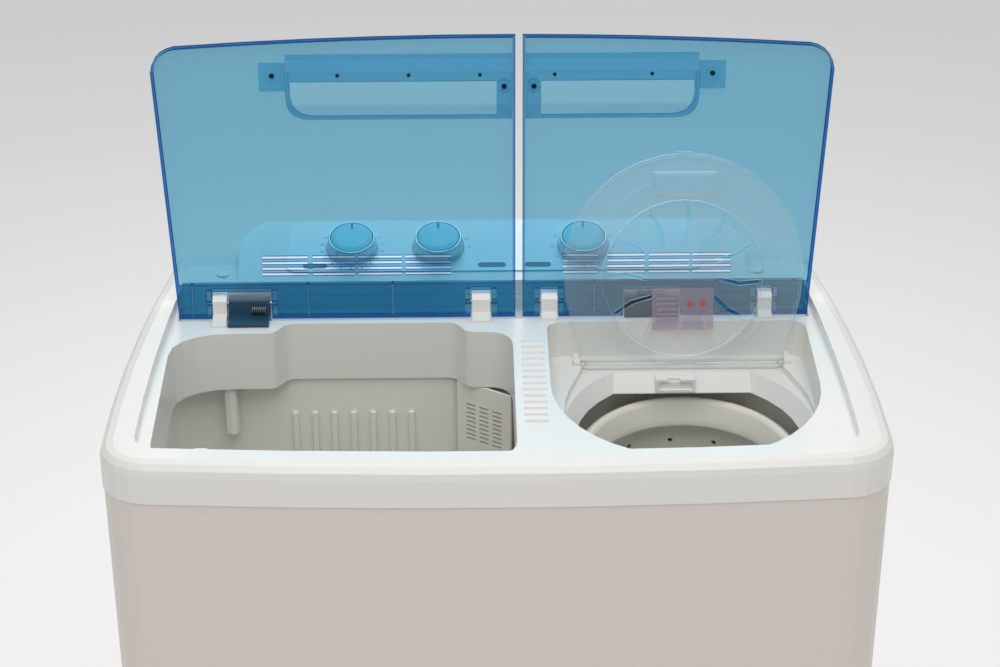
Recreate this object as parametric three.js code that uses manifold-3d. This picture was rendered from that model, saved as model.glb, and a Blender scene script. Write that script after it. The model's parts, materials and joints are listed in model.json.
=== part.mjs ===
// A twin-tub washing machine: a wash tub on the left and a spin dryer on the right, under one moulded
// top deck, with two hinged outer lids, a clear inner lid over the dryer and a sloping control console.
// Millimetres. X runs to the right, Y to the back and Z up; the origin is on the floor, under the middle.
import * as THREE from "three";
import { mergeVertices } from "three/addons/utils/BufferGeometryUtils.js";
import Module from "manifold-3d";

const wasm = await Module();
wasm.setup();

// ---------------------------------------------------------------- driving dimensions

const WIDTH = 806; // across the front corners, the widest place
const BACK_WIDTH = 730; // where the rear corners begin
const DEPTH = 500;
const RIM = 880; // height of the rim that frames the lids
const FRONT_BOW = 12; // how far the middle of the front stands ahead of its corners
const FRONT_CORNER = 48;
const BACK_CORNER = 60;
const RIM_WIDTH = 33.5; // front face to the inner edge of the rim
const GAP = 0.4; // air between pieces that are screwed or clipped together

const WALL = 3.5; // the deck's moulded walls
const RIM_ROUND = 14;
const DECK_FLOOR = RIM - 14; // sunk floor that the closed lids lie over
const SKIRT_BOTTOM = RIM - 46;
const GUTTER = { halfWidth: 350, front: 75.5, back: 127.5, floor: RIM - 28 };
const CONSOLE_FRONT = 130.8;

const WASH = { left: -353.5, right: 20, front: -200, back: 47, bulge: 68, collar: RIM - 85 };
const WASH_BULGE = { left: -223.5, right: -49, run: 25 };
const TUB = { left: -358.5, right: 25, front: -205, back: 72.5, top: RIM - 35, floor: 430, wall: 3 };
const PULSATOR = { x: -167, y: -66, radius: 118 };

const SPIN = { x: 208, y: -66.5, opening: 122, chord: 29.5, chordTop: 44, lip: RIM - 85 };
const WELL = { left: 58, right: 344, back: 66.8, corner: 16, floor: RIM - 58, seat: RIM - 66 };
const SPIN_TUB = { radius: 147, wall: 3, top: RIM - 73, floor: 403 };
const BASKET = { radius: 128, wall: 2, ringTop: RIM - 100, ringBottom: RIM - 134, floor: 432, throat: 104 };

const LID = { lean: 8, length: 321.6, depth: 12, panel: 3, skirt: 2.6, freeHalf: 366, hingeHalf: 349, corner: 26 };
const LID_HINGE = { y: 91.3, z: RIM - 0.5, fromEdge: 16.3, fromFace: 6, pin: 2.5, bore: 2.9 };
const LID_SPLIT = 28; // where the two outer lids part
const LID_GAP = 8;
const BAND = 40; // the double-skinned strip along a lid's hinge side
const HANDLE_START = 7.2; // where the finger pockets begin, from the middle of the gap between the lids
const NOTCH = 32; // depth of the cut-outs in that strip, for the hinge posts

const INNER_LID = { lean: 15, radius: 132, centre: 107, hingeHalf: 107, sheet: 2.5, rib: 4 };
const SLOTS = { centre: 98, count: 12 }; // the inner lid's ring of air slots
const INNER_HINGE = { x: 208.5, y: 52, z: RIM - 61, barrel: 3, bore: 3.4 };

const FASCIA = { front: 133.5, height: RIM + 4.5, slope: 14.47, thick: 1.2 };
const KNOBS = { up: 52, lift: 1.9, spindle: 3, wash: -160, selector: -61.7, spin: 103.5 };

const CABINET = { inset: 1.5, back: 4, wall: 2.5, bottom: 66.4, seam: 1.2, top: RIM - 22 };
const FEET = { x: 320, y: 165, radius: 18, height: 20 };
const PAN_FLOOR = 4;

const WASH_MOTOR = { x: -318, y: -66, radius: 60, bottom: 120, top: 250 };
const PULLEYS = { bottom: 296, height: 18, driven: 75, driver: 20, belt: 7 };
const SPIN_MOTOR = { radius: 62, plate: 112, bottom: 118, top: 236 };
const BRAKE = { radius: 50, bottom: 262, top: 296, pivotX: 290, pivotY: -10 };

// ---------------------------------------------------------------- solids

// A closed three.js geometry as a solid that can be joined and cut. Faces that point in are turned.
function solid(geometry) {
  const bare = new THREE.BufferGeometry();
  bare.setAttribute("position", geometry.getAttribute("position"));
  bare.setIndex(geometry.getIndex());
  const merged = mergeVertices(bare, 1e-4);
  const corners = new Uint32Array(merged.getIndex().array);
  const points = new Float32Array(merged.getAttribute("position").array);
  const made = new wasm.Manifold(new wasm.Mesh({ numProp: 3, vertProperties: points, triVerts: corners }));
  if (made.volume() > 0) return made;
  for (let i = 0; i < corners.length; i += 3) {
    [corners[i], corners[i + 1]] = [corners[i + 1], corners[i]];
  }
  return new wasm.Manifold(new wasm.Mesh({ numProp: 3, vertProperties: points, triVerts: corners }));
}

function join(...pieces) {
  return pieces.reduce((all, piece) => all.add(piece));
}

function cut(body, ...tools) {
  return tools.reduce((rest, tool) => rest.subtract(tool), body);
}

// A box between two values on each axis.
function block(x0, x1, y0, y1, z0, z1) {
  const box = new THREE.BoxGeometry(Math.abs(x1 - x0), Math.abs(y1 - y0), Math.abs(z1 - z0));
  return solid(box.translate((x0 + x1) / 2, (y0 + y1) / 2, (z0 + z1) / 2));
}

// A round bar along an axis. The last two places are its centre on the other two axes, in X, Y, Z order.
function bar(axis, radius, from, to, a, b, sides = 16) {
  const geometry = new THREE.CylinderGeometry(radius, radius, to - from, sides);
  const middle = (from + to) / 2;
  if (axis === "x") return solid(geometry.rotateZ(Math.PI / 2).translate(middle, a, b));
  if (axis === "y") return solid(geometry.translate(a, middle, b));
  return solid(geometry.rotateX(Math.PI / 2).translate(a, b, middle));
}

// A plan outline raised between two heights.
function prism(shape, z0, z1, steps = 5) {
  const geometry = new THREE.ExtrudeGeometry(shape, { depth: z1 - z0, bevelEnabled: false, curveSegments: steps });
  return solid(geometry.translate(0, 0, z0));
}

// The same, with its edges at both heights rounded.
function roundedPrism(shape, z0, z1, radius, steps = 5) {
  const geometry = new THREE.ExtrudeGeometry(shape, {
    depth: z1 - z0 - 2 * radius,
    bevelThickness: radius,
    bevelSize: radius,
    bevelOffset: -radius,
    bevelSegments: 3,
    curveSegments: steps,
  });
  return solid(geometry.translate(0, 0, z0 + radius));
}

// An outline in the YZ plane drawn out along X.
function sidePrism(shape, x0, x1, steps = 6) {
  const geometry = new THREE.ExtrudeGeometry(shape, { depth: x1 - x0, bevelEnabled: false, curveSegments: steps });
  const yzx = new THREE.Matrix4().makeBasis(
    new THREE.Vector3(0, 1, 0),
    new THREE.Vector3(0, 0, 1),
    new THREE.Vector3(1, 0, 0),
  );
  return solid(geometry.applyMatrix4(yzx).translate(x0, 0, 0));
}

function polygon(points) {
  return new THREE.Shape(points.map(([a, b]) => new THREE.Vector2(a, b)));
}

// A profile of [radius, height] pairs turned about a vertical axis. It starts and ends on the axis,
// or it closes on itself.
function turned(profile, x = 0, y = 0, sides = 20) {
  const points = profile.map(([radius, height]) => new THREE.Vector2(radius, height));
  const onAxis = profile[0][0] === 0 && profile[profile.length - 1][0] === 0;
  if (!onAxis) points.push(points[0].clone());
  return solid(new THREE.LatheGeometry(points, sides).rotateX(Math.PI / 2).translate(x, y, 0));
}

// A hollow tube along a path.
function tube(path, outer, inner, steps = 12, sides = 10) {
  const ring = new THREE.Shape().absarc(0, 0, outer, 0, 2 * Math.PI);
  ring.holes.push(new THREE.Path().absarc(0, 0, inner, 0, 2 * Math.PI, true));
  return solid(new THREE.ExtrudeGeometry(ring, { steps, curveSegments: sides, extrudePath: path }));
}

function vec(x, y, z) {
  return new THREE.Vector3(x, y, z);
}

// ---------------------------------------------------------------- finishes and meshes

function finish(color, roughness, metalness = 0, opacity = 1) {
  return new THREE.MeshStandardMaterial({ color, roughness, metalness, opacity, transparent: opacity < 1 });
}

const FINISH = {
  white: () => finish(0xe9e8e5, 0.3),
  cabinet: () => finish(0xdcdad5, 0.42),
  tub: () => finish(0xd6d3ca, 0.35),
  plinth: () => finish(0xc9c9c6, 0.5),
  blue: () => finish(0x2f9fd0, 0.12, 0, 0.6),
  clear: () => finish(0xe6f2f6, 0.08, 0, 0.3),
  silver: () => finish(0xc4c9cc, 0.25, 0.6),
  darkBlue: () => finish(0x1b4056, 0.45),
  steel: () => finish(0x9da0a2, 0.35, 0.9),
  motor: () => finish(0x55585a, 0.5, 0.6),
  rubber: () => finish(0x1c1c1c, 0.8),
  black: () => finish(0x2a2a2b, 0.55),
  grey: () => finish(0x8d9093, 0.5),
};

function part(name, shape, material) {
  const made = shape.asOriginal().simplify(0.004).getMesh();
  const geometry = new THREE.BufferGeometry();
  geometry.setAttribute("position", new THREE.BufferAttribute(new Float32Array(made.vertProperties), 3));
  geometry.setIndex(new THREE.BufferAttribute(new Uint32Array(made.triVerts), 1));
  geometry.computeVertexNormals();
  const mesh = new THREE.Mesh(geometry, material);
  mesh.name = name;
  return mesh;
}

function radians(degrees) {
  return THREE.MathUtils.degToRad(degrees);
}

// ---------------------------------------------------------------- outlines

const QUARTER = 0.5523; // a quarter circle's control points lie this far along its tangents

// How far the front line falls back at a distance from the middle.
function bowAt(x) {
  return FRONT_BOW * (x / (WIDTH / 2 - FRONT_CORNER)) ** 2;
}

// A plan outline with a bowed front and sides that draw in towards the back.
function bowedOutline(half, halfBack, front, back, frontRadius, backRadius) {
  const run = half - frontRadius;
  const fall = bowAt(run);
  const corner = front + fall;
  const tilt = (2 * fall) / run;
  const sideY = corner + frontRadius;
  const rearY = back - backRadius;
  const inward = (half - halfBack) / ((rearY - sideY) / 2);
  const f = frontRadius * QUARTER;
  const b = backRadius * QUARTER;
  const shape = new THREE.Shape();
  shape.moveTo(-run, corner);
  shape.quadraticCurveTo(0, corner - 2 * fall, run, corner);
  shape.bezierCurveTo(run + f, corner + f * tilt, half, sideY - f, half, sideY);
  shape.quadraticCurveTo(half, (sideY + rearY) / 2, halfBack, rearY);
  shape.bezierCurveTo(halfBack - b * inward, rearY + b, halfBack - backRadius + b, back, halfBack - backRadius, back);
  shape.lineTo(-(halfBack - backRadius), back);
  shape.bezierCurveTo(-(halfBack - backRadius + b), back, -(halfBack - b * inward), rearY + b, -halfBack, rearY);
  shape.quadraticCurveTo(-half, (sideY + rearY) / 2, -half, sideY);
  shape.bezierCurveTo(-half, sideY - f, -(run + f), corner + f * tilt, -run, corner);
  return shape;
}

function bodyOutline(inset) {
  return bowedOutline(
    WIDTH / 2 - inset,
    BACK_WIDTH / 2 - inset,
    -DEPTH / 2 + inset,
    DEPTH / 2 - inset,
    FRONT_CORNER - inset,
    BACK_CORNER - inset,
  );
}

// The cabinet's wall at a depth in from its outer face.
function cabinetOutline(depth) {
  const inset = CABINET.inset + depth;
  return bowedOutline(
    WIDTH / 2 - inset,
    BACK_WIDTH / 2 - inset,
    -DEPTH / 2 + inset,
    DEPTH / 2 - CABINET.back - depth,
    FRONT_CORNER - inset,
    BACK_CORNER - inset,
  );
}

// The inner edge of the rim, which also bounds the shelf under the console.
function rimOutline(inset) {
  return bowedOutline(
    368 - inset,
    341 - inset,
    -DEPTH / 2 + RIM_WIDTH + inset,
    DEPTH / 2 - WALL - inset,
    22 - inset,
    46 - inset,
  );
}

// The wash opening: a rounded rectangle whose back steps out in the middle.
function washOutline(grow) {
  const left = WASH.left - grow;
  const right = WASH.right + grow;
  const front = WASH.front - grow;
  const back = WASH.back + grow;
  const bulge = WASH.bulge + grow;
  const shape = new THREE.Shape();
  shape.moveTo(left + 26, front);
  shape.lineTo(right - 24, front);
  shape.quadraticCurveTo(right, front, right, front + 24);
  shape.lineTo(right, back - 30);
  shape.quadraticCurveTo(right, back, right - 30, back);
  const stepRight = WASH_BULGE.right + WASH_BULGE.run;
  shape.lineTo(stepRight, back);
  shape.bezierCurveTo(stepRight - 12, back, WASH_BULGE.right + 12, bulge, WASH_BULGE.right, bulge);
  shape.lineTo(WASH_BULGE.left, bulge);
  const stepLeft = WASH_BULGE.left - WASH_BULGE.run;
  shape.bezierCurveTo(WASH_BULGE.left - 12, bulge, stepLeft + 12, back, stepLeft, back);
  shape.lineTo(left + 64, back);
  shape.bezierCurveTo(left + 30, back, left, back - 14, left, back - 46);
  shape.lineTo(left, front + 26);
  shape.quadraticCurveTo(left, front, left + 26, front);
  return shape;
}

function roundedRectangle(left, right, front, back, radius, backRadius = radius) {
  const shape = new THREE.Shape();
  shape.moveTo(left + radius, front);
  shape.lineTo(right - radius, front);
  shape.absarc(right - radius, front + radius, radius, -Math.PI / 2, 0);
  shape.lineTo(right, back - backRadius);
  shape.absarc(right - backRadius, back - backRadius, backRadius, 0, Math.PI / 2);
  shape.lineTo(left + backRadius, back);
  shape.absarc(left + backRadius, back - backRadius, backRadius, Math.PI / 2, Math.PI);
  shape.lineTo(left, front + radius);
  shape.absarc(left + radius, front + radius, radius, Math.PI, 1.5 * Math.PI);
  return shape;
}

// The well around the dryer's opening: square at the back, half a circle at the front.
function wellOutline(grow) {
  const left = WELL.left - grow;
  const right = WELL.right + grow;
  const back = WELL.back + grow;
  const radius = (right - left) / 2;
  const shape = new THREE.Shape();
  shape.absarc((left + right) / 2, SPIN.y, radius, Math.PI, 2 * Math.PI);
  const corner = WELL.corner + grow;
  shape.lineTo(right, back - corner);
  shape.absarc(right - corner, back - corner, corner, 0, Math.PI / 2);
  shape.lineTo(left + corner, back);
  shape.absarc(left + corner, back - corner, corner, Math.PI / 2, Math.PI);
  return shape;
}

// The clear inner lid, with X across and the second value measured from its hinge. Laid flat for its
// seat in the deck, it runs to the front.
function innerLidOutline(grow, x = 0, y = 0, direction = 1) {
  const reach = INNER_LID.centre;
  const r = INNER_LID.radius + grow;
  const h = INNER_LID.hingeHalf + grow;
  const at = (across, along) => [x + across, y + direction * along];
  const shape = new THREE.Shape();
  shape.moveTo(...at(-h, -3 - grow));
  shape.lineTo(...at(h, -3 - grow));
  shape.bezierCurveTo(...at(h, 25), ...at(r, 50), ...at(r, reach));
  for (let i = 1; i <= 16; i += 1) {
    const angle = (i * Math.PI) / 16;
    shape.lineTo(...at(r * Math.cos(angle), reach + r * Math.sin(angle)));
  }
  shape.bezierCurveTo(...at(-r, 50), ...at(-h, 25), ...at(-h, -3 - grow));
  return shape;
}

// ---------------------------------------------------------------- cabinet, base and feet

// The plinth: a tray that the cabinet stands on, with an upstand inside the cabinet's walls and
// pedestals for the motors.
function basePan() {
  const bottom = FEET.height + GAP;
  const inner = CABINET.wall + GAP;
  const tray = cut(
    join(
      prism(bodyOutline(6), bottom, CABINET.bottom - GAP),
      prism(cabinetOutline(inner), bottom, CABINET.bottom + 24),
    ),
    prism(cabinetOutline(inner + 3), bottom + PAN_FLOOR, CABINET.bottom + 25),
  );
  const pedestal = turned(
    [[0, bottom + 1], [70, bottom + 1], [64, WASH_MOTOR.bottom - GAP], [0, WASH_MOTOR.bottom - GAP]],
    WASH_MOTOR.x,
    WASH_MOTOR.y,
    24,
  );
  const sockets = spinMounts().map(([x, y]) => bar("z", 20, bottom + 1, 60, x, y, 16));
  return part("base_pan", join(tray, pedestal, ...sockets), FINISH.plinth());
}

// The dryer motor's three mounts stand on a circle around its shaft.
function spinMounts() {
  return [90, 210, 330].map((angle) => [
    SPIN.x + 74 * Math.cos(radians(angle)),
    SPIN.y + 74 * Math.sin(radians(angle)),
  ]);
}

function feet() {
  const corners = { front_left: [-1, -1], front_right: [1, -1], rear_left: [-1, 1], rear_right: [1, 1] };
  return Object.entries(corners).map(([place, [x, y]]) => {
    const { radius, height } = FEET;
    const profile = [[0, 0], [radius - 3, 0], [radius, 4], [radius, 14], [12, height], [0, height]];
    return part("foot_" + place, turned(profile, x * FEET.x, y * FEET.y, 14), FINISH.rubber());
  });
}

const SERVICE = { left: -270, right: 270, bottom: 160, top: 770 }; // the opening in the cabinet's back
const OUTLET = { x: -150, z: 112 }; // where the drain leaves the back
const CORD = { x: 240, z: 112 }; // where the mains cord enters
const INLET = { x: -295, z: RIM - 65, y: 60 };

// Its walls stand nearly flush with the deck's skirt, and step in above the seam to stand inside it.
function cabinet() {
  const step = SKIRT_BOTTOM - CABINET.seam;
  const shell = cut(
    join(
      prism(cabinetOutline(0), CABINET.bottom, step),
      prism(cabinetOutline(CABINET.wall), CABINET.bottom, CABINET.top),
    ),
    prism(cabinetOutline(CABINET.wall), CABINET.bottom - 1, step - CABINET.wall),
    prism(cabinetOutline(2 * CABINET.wall), CABINET.bottom - 1, CABINET.top + 1),
  );
  const back = DEPTH / 2;
  const drainHole = bar("y", 17, back - 12, back + 1, OUTLET.x, OUTLET.z);
  const cordHole = bar("y", 8.5, back - 12, back + 1, CORD.x, CORD.z, 16);
  const inletHole = bar("y", 9, back - 12, back + 1, -250, INLET.z, 16);
  const service = block(SERVICE.left, SERVICE.right, back - 12, back + 1, SERVICE.bottom, SERVICE.top);
  return part("cabinet", cut(shell, service, drainHole, cordHole, inletHole), FINISH.cabinet());
}

// The service cover: a pressed plate over the opening, with rows of cooling slots at the motors' height.
function rearCover() {
  const y0 = DEPTH / 2 - CABINET.back + GAP;
  let plate = block(SERVICE.left - 14, SERVICE.right + 14, y0, y0 + 1.5, SERVICE.bottom - 14, SERVICE.top + 14);
  for (const x of [-150, 150]) {
    for (let row = 0; row < 6; row += 1) {
      const z = 190 + row * 22;
      plate = plate.subtract(block(x - 45, x + 45, y0 - 1, y0 + 3, z, z + 6));
    }
  }
  const panel = block(SERVICE.left + 40, SERVICE.right - 40, y0 + 1, y0 + 3, 400, 700);
  return part("rear_cover", join(plate, panel), FINISH.cabinet());
}

// ---------------------------------------------------------------- top deck

// Each post's two sides and how far forward its foot reaches.
const POSTS = [
  [-311, -295.5, 60],
  [-24, -4, 66],
  [52.7, 70.4, 70],
  [293, 308.5, 70],
];

// A post that carries one hinge pin. Its top is rounded about the pin, and a low foot braces its front.
function hingePost([x0, x1, footFront]) {
  const y = LID_HINGE.y;
  const profile = polygon([
    [footFront, DECK_FLOOR - 1],
    [GUTTER.front - 1, DECK_FLOOR - 1],
    [GUTTER.front - 1, GUTTER.floor - 2],
    [y + 8, GUTTER.floor - 2],
    [y + 8, RIM + 7],
    [y + 5, RIM + 11],
    [y - 5, RIM + 11],
    [y - 10, RIM + 7],
    [y - 11, RIM - 8],
    [footFront, DECK_FLOOR + 3],
  ]);
  return cut(sidePrism(profile, x0, x1), bar("x", LID_HINGE.bore, x0 - 1, x1 + 1, y, LID_HINGE.z, 16));
}

// Ridges for scrubbing on, along the bridge between the two tubs.
function washboard() {
  const ridges = [];
  for (let i = 0; i < 14; i += 1) {
    const y = -138 + i * 12.6;
    const profile = polygon([
      [y - 3, DECK_FLOOR - 1],
      [y + 3, DECK_FLOOR - 1],
      [y + 1.2, DECK_FLOOR + 2.2],
      [y - 1.2, DECK_FLOOR + 2.2],
    ]);
    ridges.push(sidePrism(profile, 29, 53));
  }
  return ridges;
}

// The well around the dryer: its walls and floor, the seat of the inner lid, and the lip that funnels
// down into the basket, flattened at the back.
function spinWell() {
  const floor = WELL.seat - 3;
  const outside = join(
    prism(wellOutline(3), floor, DECK_FLOOR - 1, 10),
    turned(
      [[0, SPIN.lip], [SPIN.opening + 3, SPIN.lip], [SPIN.opening + 14, floor + 1], [0, floor + 1]],
      SPIN.x,
      SPIN.y,
      36,
    ),
  );
  const funnel = turned(
    [[0, SPIN.lip - 1], [SPIN.opening, SPIN.lip - 1], [SPIN.opening + 13, WELL.seat + 1], [0, WELL.seat + 1]],
    SPIN.x,
    SPIN.y,
    36,
  );
  const aheadOfChord = sidePrism(
    polygon([
      [-250, SPIN.lip - 2],
      [SPIN.chord, SPIN.lip - 2],
      [SPIN.chord, SPIN.lip + 1],
      [SPIN.chordTop, WELL.seat],
      [SPIN.chordTop, WELL.seat + 2],
      [-250, WELL.seat + 2],
    ]),
    0,
    WIDTH / 2,
  );
  return {
    outside,
    inside: join(
      prism(wellOutline(0), WELL.floor, RIM + 1, 10),
      prism(innerLidOutline(3, INNER_HINGE.x, INNER_HINGE.y, -1), WELL.seat, WELL.floor + 1),
      block(
        INNER_HINGE.x - 120.8, INNER_HINGE.x + 120.8, INNER_HINGE.y - 6, INNER_HINGE.y + 6, WELL.seat, WELL.floor + 1,
      ),
      funnel.intersect(aheadOfChord),
    ),
  };
}

// Sockets at the back of the well for the ends of the inner lid's hinge barrel.
function innerHingeSockets() {
  return [-1, 1].map((side) => {
    const x = INNER_HINGE.x + side * 117;
    const socket = block(x - 3.5, x + 3.5, INNER_HINGE.y - 7, WELL.back + 1, WELL.seat - 1, INNER_HINGE.z + 7);
    return cut(socket, bar("x", INNER_HINGE.bore, x - 6, x + 6, INNER_HINGE.y, INNER_HINGE.z, 16));
  });
}

// The rim and the console's shelf fall away a little towards the back corners.
function rearFall(lift) {
  return sidePrism(
    polygon([[172, RIM + lift], [DEPTH / 2 + 5, RIM - 13 + lift], [DEPTH / 2 + 5, RIM + 60], [172, RIM + 60]]),
    -WIDTH / 2,
    WIDTH / 2,
  );
}

function topDeck() {
  const outside = cut(
    roundedPrism(bodyOutline(0), SKIRT_BOTTOM - 20, RIM, RIM_ROUND),
    block(-WIDTH, WIDTH, -DEPTH, DEPTH, SKIRT_BOTTOM - 30, SKIRT_BOTTOM),
  );
  const underside = prism(bodyOutline(WALL), SKIRT_BOTTOM - 1, DECK_FLOOR - WALL + 0.5);
  const channel = cut(
    prism(bodyOutline(WALL), DECK_FLOOR - WALL, RIM - 8),
    prism(rimOutline(-WALL), DECK_FLOOR - WALL - 1, RIM - 7),
  );
  const sheet = cut(
    outside,
    underside,
    channel.intersect(block(-WIDTH, WIDTH, -DEPTH, 120, 0, RIM)),
    prism(rimOutline(0), DECK_FLOOR, RIM + 1),
    rearFall(0),
  );
  const well = spinWell();
  const gutterOutside = block(
    -GUTTER.halfWidth - 3, GUTTER.halfWidth + 3, GUTTER.front - 3, GUTTER.back + 3, GUTTER.floor - 3, DECK_FLOOR - 1,
  );
  const gutter = block(
    -GUTTER.halfWidth, GUTTER.halfWidth, GUTTER.front, GUTTER.back, GUTTER.floor, DECK_FLOOR + 1,
  );
  const timerBay = block(-195, 145, 152, 222, SKIRT_BOTTOM, DECK_FLOOR + 1);
  const hollowed = cut(
    join(sheet, gutterOutside, prism(washOutline(3), WASH.collar, DECK_FLOOR - 1), well.outside),
    gutter,
    prism(washOutline(0), WASH.collar - 1, DECK_FLOOR + 1),
    well.inside,
    timerBay,
  );
  const restPads = [-300, 300].map((x) => block(x - 6, x + 6, -203, -195, DECK_FLOOR - 1, RIM - 7.1));
  return part(
    "top_deck",
    join(hollowed, ...POSTS.map(hingePost), ...washboard(), ...innerHingeSockets(), ...restPads),
    FINISH.white(),
  );
}

// The latch of the inner lid, in a frame that stands out of the slope behind the dryer's opening.
function spinLatch() {
  const slope = (SPIN.chordTop - SPIN.chord) / (WELL.seat - SPIN.lip - 1);
  const behind = (z) => SPIN.chord + (z - SPIN.lip - 1) * slope - GAP;
  const front = SPIN.chord - 2;
  const [low, high] = [RIM - 82.5, WELL.seat - 0.4];
  const side = polygon([[front, low], [behind(low), low], [behind(high), high], [front, high]]);
  const frame = sidePrism(side, 178.5, 222);
  const pocket = block(182, 218.5, front - 1, front + 2.2, low + 3, high - 3);
  const notch = block(192, 205, front - 1, front + 4, high - 4, high + 1);
  return part("inner_lid_latch", cut(frame, pocket, notch), FINISH.white());
}

// The damper that slows the wash lid, beside its outer hinge post.
function lidDamper() {
  const y = LID_HINGE.y;
  const side = polygon([
    [60, DECK_FLOOR + GAP],
    [GUTTER.front + GAP, DECK_FLOOR + GAP],
    [GUTTER.front + GAP, GUTTER.floor + GAP],
    [y + 8, GUTTER.floor + GAP],
    [y + 8, RIM + 6],
    [y - 8, RIM + 6],
    [y - 11, RIM - 8],
    [60, DECK_FLOOR + 4],
  ]);
  const bore = bar("x", LID_HINGE.bore, -295, -246, y, LID_HINGE.z, 16);
  return part("wash_lid_damper", cut(sidePrism(side, -293.5, -248.5), bore), FINISH.darkBlue());
}

// The switch that stops the dryer when its lid is raised.
function lidSwitch() {
  const y = LID_HINGE.y;
  const body = block(146, 206, y - 8, y + 8, GUTTER.floor + GAP, RIM + 8);
  const lever = block(160, 190, y - 5, y + 5, RIM + 7, RIM + 10);
  return part("spin_lid_switch", join(body, lever), FINISH.darkBlue());
}

// ---------------------------------------------------------------- console, controls and their units

// The raised block of the console in plan, wide corners at the back.
function consoleBlock(inset) {
  const half = 288 - inset;
  const back = 238.5 - inset;
  const front = CONSOLE_FRONT + inset;
  const r = 57 - inset;
  const shape = new THREE.Shape();
  shape.moveTo(-half, front);
  shape.lineTo(half, front);
  shape.lineTo(half, back - r);
  shape.absarc(half - r, back - r, r, 0, Math.PI / 2);
  shape.lineTo(-(half - r), back);
  shape.absarc(-(half - r), back - r, r, Math.PI / 2, Math.PI);
  return shape;
}

// Everything above the console's sloping top, lowered by a depth.
function aboveSlope(lower) {
  const rise = Math.tan(radians(FASCIA.slope));
  const at = (y) => FASCIA.height + (y - FASCIA.front) * rise - lower;
  return sidePrism(
    polygon([
      [CONSOLE_FRONT - 5, at(FASCIA.front) - 1.5],
      [FASCIA.front + 1, at(FASCIA.front + 1)],
      [231, at(231)],
      [242, at(231) - 12],
      [300, at(231) - 12],
      [300, RIM + 90],
      [CONSOLE_FRONT - 5, RIM + 90],
    ]),
    -WIDTH / 2,
    WIDTH / 2,
  );
}

function consoleHousing() {
  const bottom = DECK_FLOOR + GAP;
  const behindFront = block(-WIDTH / 2, WIDTH / 2, CONSOLE_FRONT, DEPTH / 2, bottom - 5, RIM + 60);
  const shoulders = cut(
    prism(rimOutline(GAP + 0.1), bottom, RIM + 4.5).intersect(behindFront),
    rearFall(4.5),
  );
  const raised = cut(prism(consoleBlock(0), bottom, RIM + 40, 10), aboveSlope(0));
  const cavity = join(
    cut(
      prism(rimOutline(GAP + 2.6), bottom - 1, RIM + 2).intersect(
        block(-WIDTH / 2, WIDTH / 2, CONSOLE_FRONT + 2.5, DEPTH / 2, bottom - 5, RIM + 60),
      ),
      rearFall(2),
    ),
    cut(prism(consoleBlock(2.5), bottom - 1, RIM + 40, 10), aboveSlope(2.5)),
  );
  const housing = join(shoulders, raised).subtract(cavity);
  return part("console_housing", cut(housing, ...knobPlaces().map(spindleHole)), FINISH.white());
}

// The three control shafts stand square to the slope of the console.
function knobPlaces() {
  return [KNOBS.wash, KNOBS.selector, KNOBS.spin];
}

function slopeMatrix() {
  const turn = new THREE.Matrix4().makeRotationX(radians(FASCIA.slope));
  return turn.setPosition(0, FASCIA.front, FASCIA.height);
}

function spindleHole(x) {
  const geometry = new THREE.CylinderGeometry(8, 8, 20, 16);
  return solid(geometry.rotateX(Math.PI / 2).translate(x, KNOBS.up, 0).applyMatrix4(slopeMatrix()));
}

// A frame on the console's slope: X across, Y up the slope and Z out of it.
function onSlope() {
  const group = new THREE.Group();
  group.position.set(0, FASCIA.front, FASCIA.height);
  group.rotation.x = radians(FASCIA.slope);
  return group;
}

function fasciaPlate() {
  const plate = prism(roundedRectangle(-233, 235, 13, 95, 10), GAP, GAP + FASCIA.thick, 5);
  const holes = knobPlaces().map((x) => bar("z", 8, -1, 5, x, KNOBS.up, 16));
  return part("control_fascia", cut(plate, ...holes), FINISH.white());
}

// A knob: a flared skirt, a rim around a sunk top, and a hub with the spindle that turns its unit.
function knob(name, x) {
  const body = turned(
    [
      [0, -14],
      [KNOBS.spindle, -14],
      [KNOBS.spindle, 0.2],
      [7, 0.2],
      [7, 11],
      [23.6, 11],
      [26, 0.6],
      [30, 0.6],
      [30, 2],
      [27.6, 5],
      [26.8, 15],
      [26.1, 16.2],
      [24.4, 16.2],
      [24.2, 14.4],
      [0, 14.4],
    ],
  );
  const cap = turned([[0, 14.8], [23.7, 14.8], [23.7, 16], [19, 17.2], [0, 17.8]]);
  const group = new THREE.Group();
  group.position.set(x, KNOBS.up, KNOBS.lift);
  group.add(part(name, body, FINISH.silver()), part(name + "_cap", cap, FINISH.silver()));
  return group;
}

// A timer or switch unit under the slope, with a bore for its knob's spindle.
function controlUnit(name, x, width, height, depth) {
  const top = -2.5 - GAP;
  const body = join(
    block(x - width / 2, x + width / 2, KNOBS.up - height / 2, KNOBS.up + height / 2, top - depth, top - 4),
    bar("z", 7, top - 6, top, x, KNOBS.up, 16),
  );
  return part(name, cut(body, bar("z", KNOBS.spindle + GAP, -16, 0, x, KNOBS.up, 16)), FINISH.grey());
}

function screwCap(name, x) {
  const z = RIM + 4.5 + GAP;
  const disc = turned([[0, z], [7, z], [7, z + 0.8], [5.5, z + 1.5], [0, z + 1.5]], x, 148.5, 20);
  return part(name, disc, FINISH.white());
}

// ---------------------------------------------------------------- wash side

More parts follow.
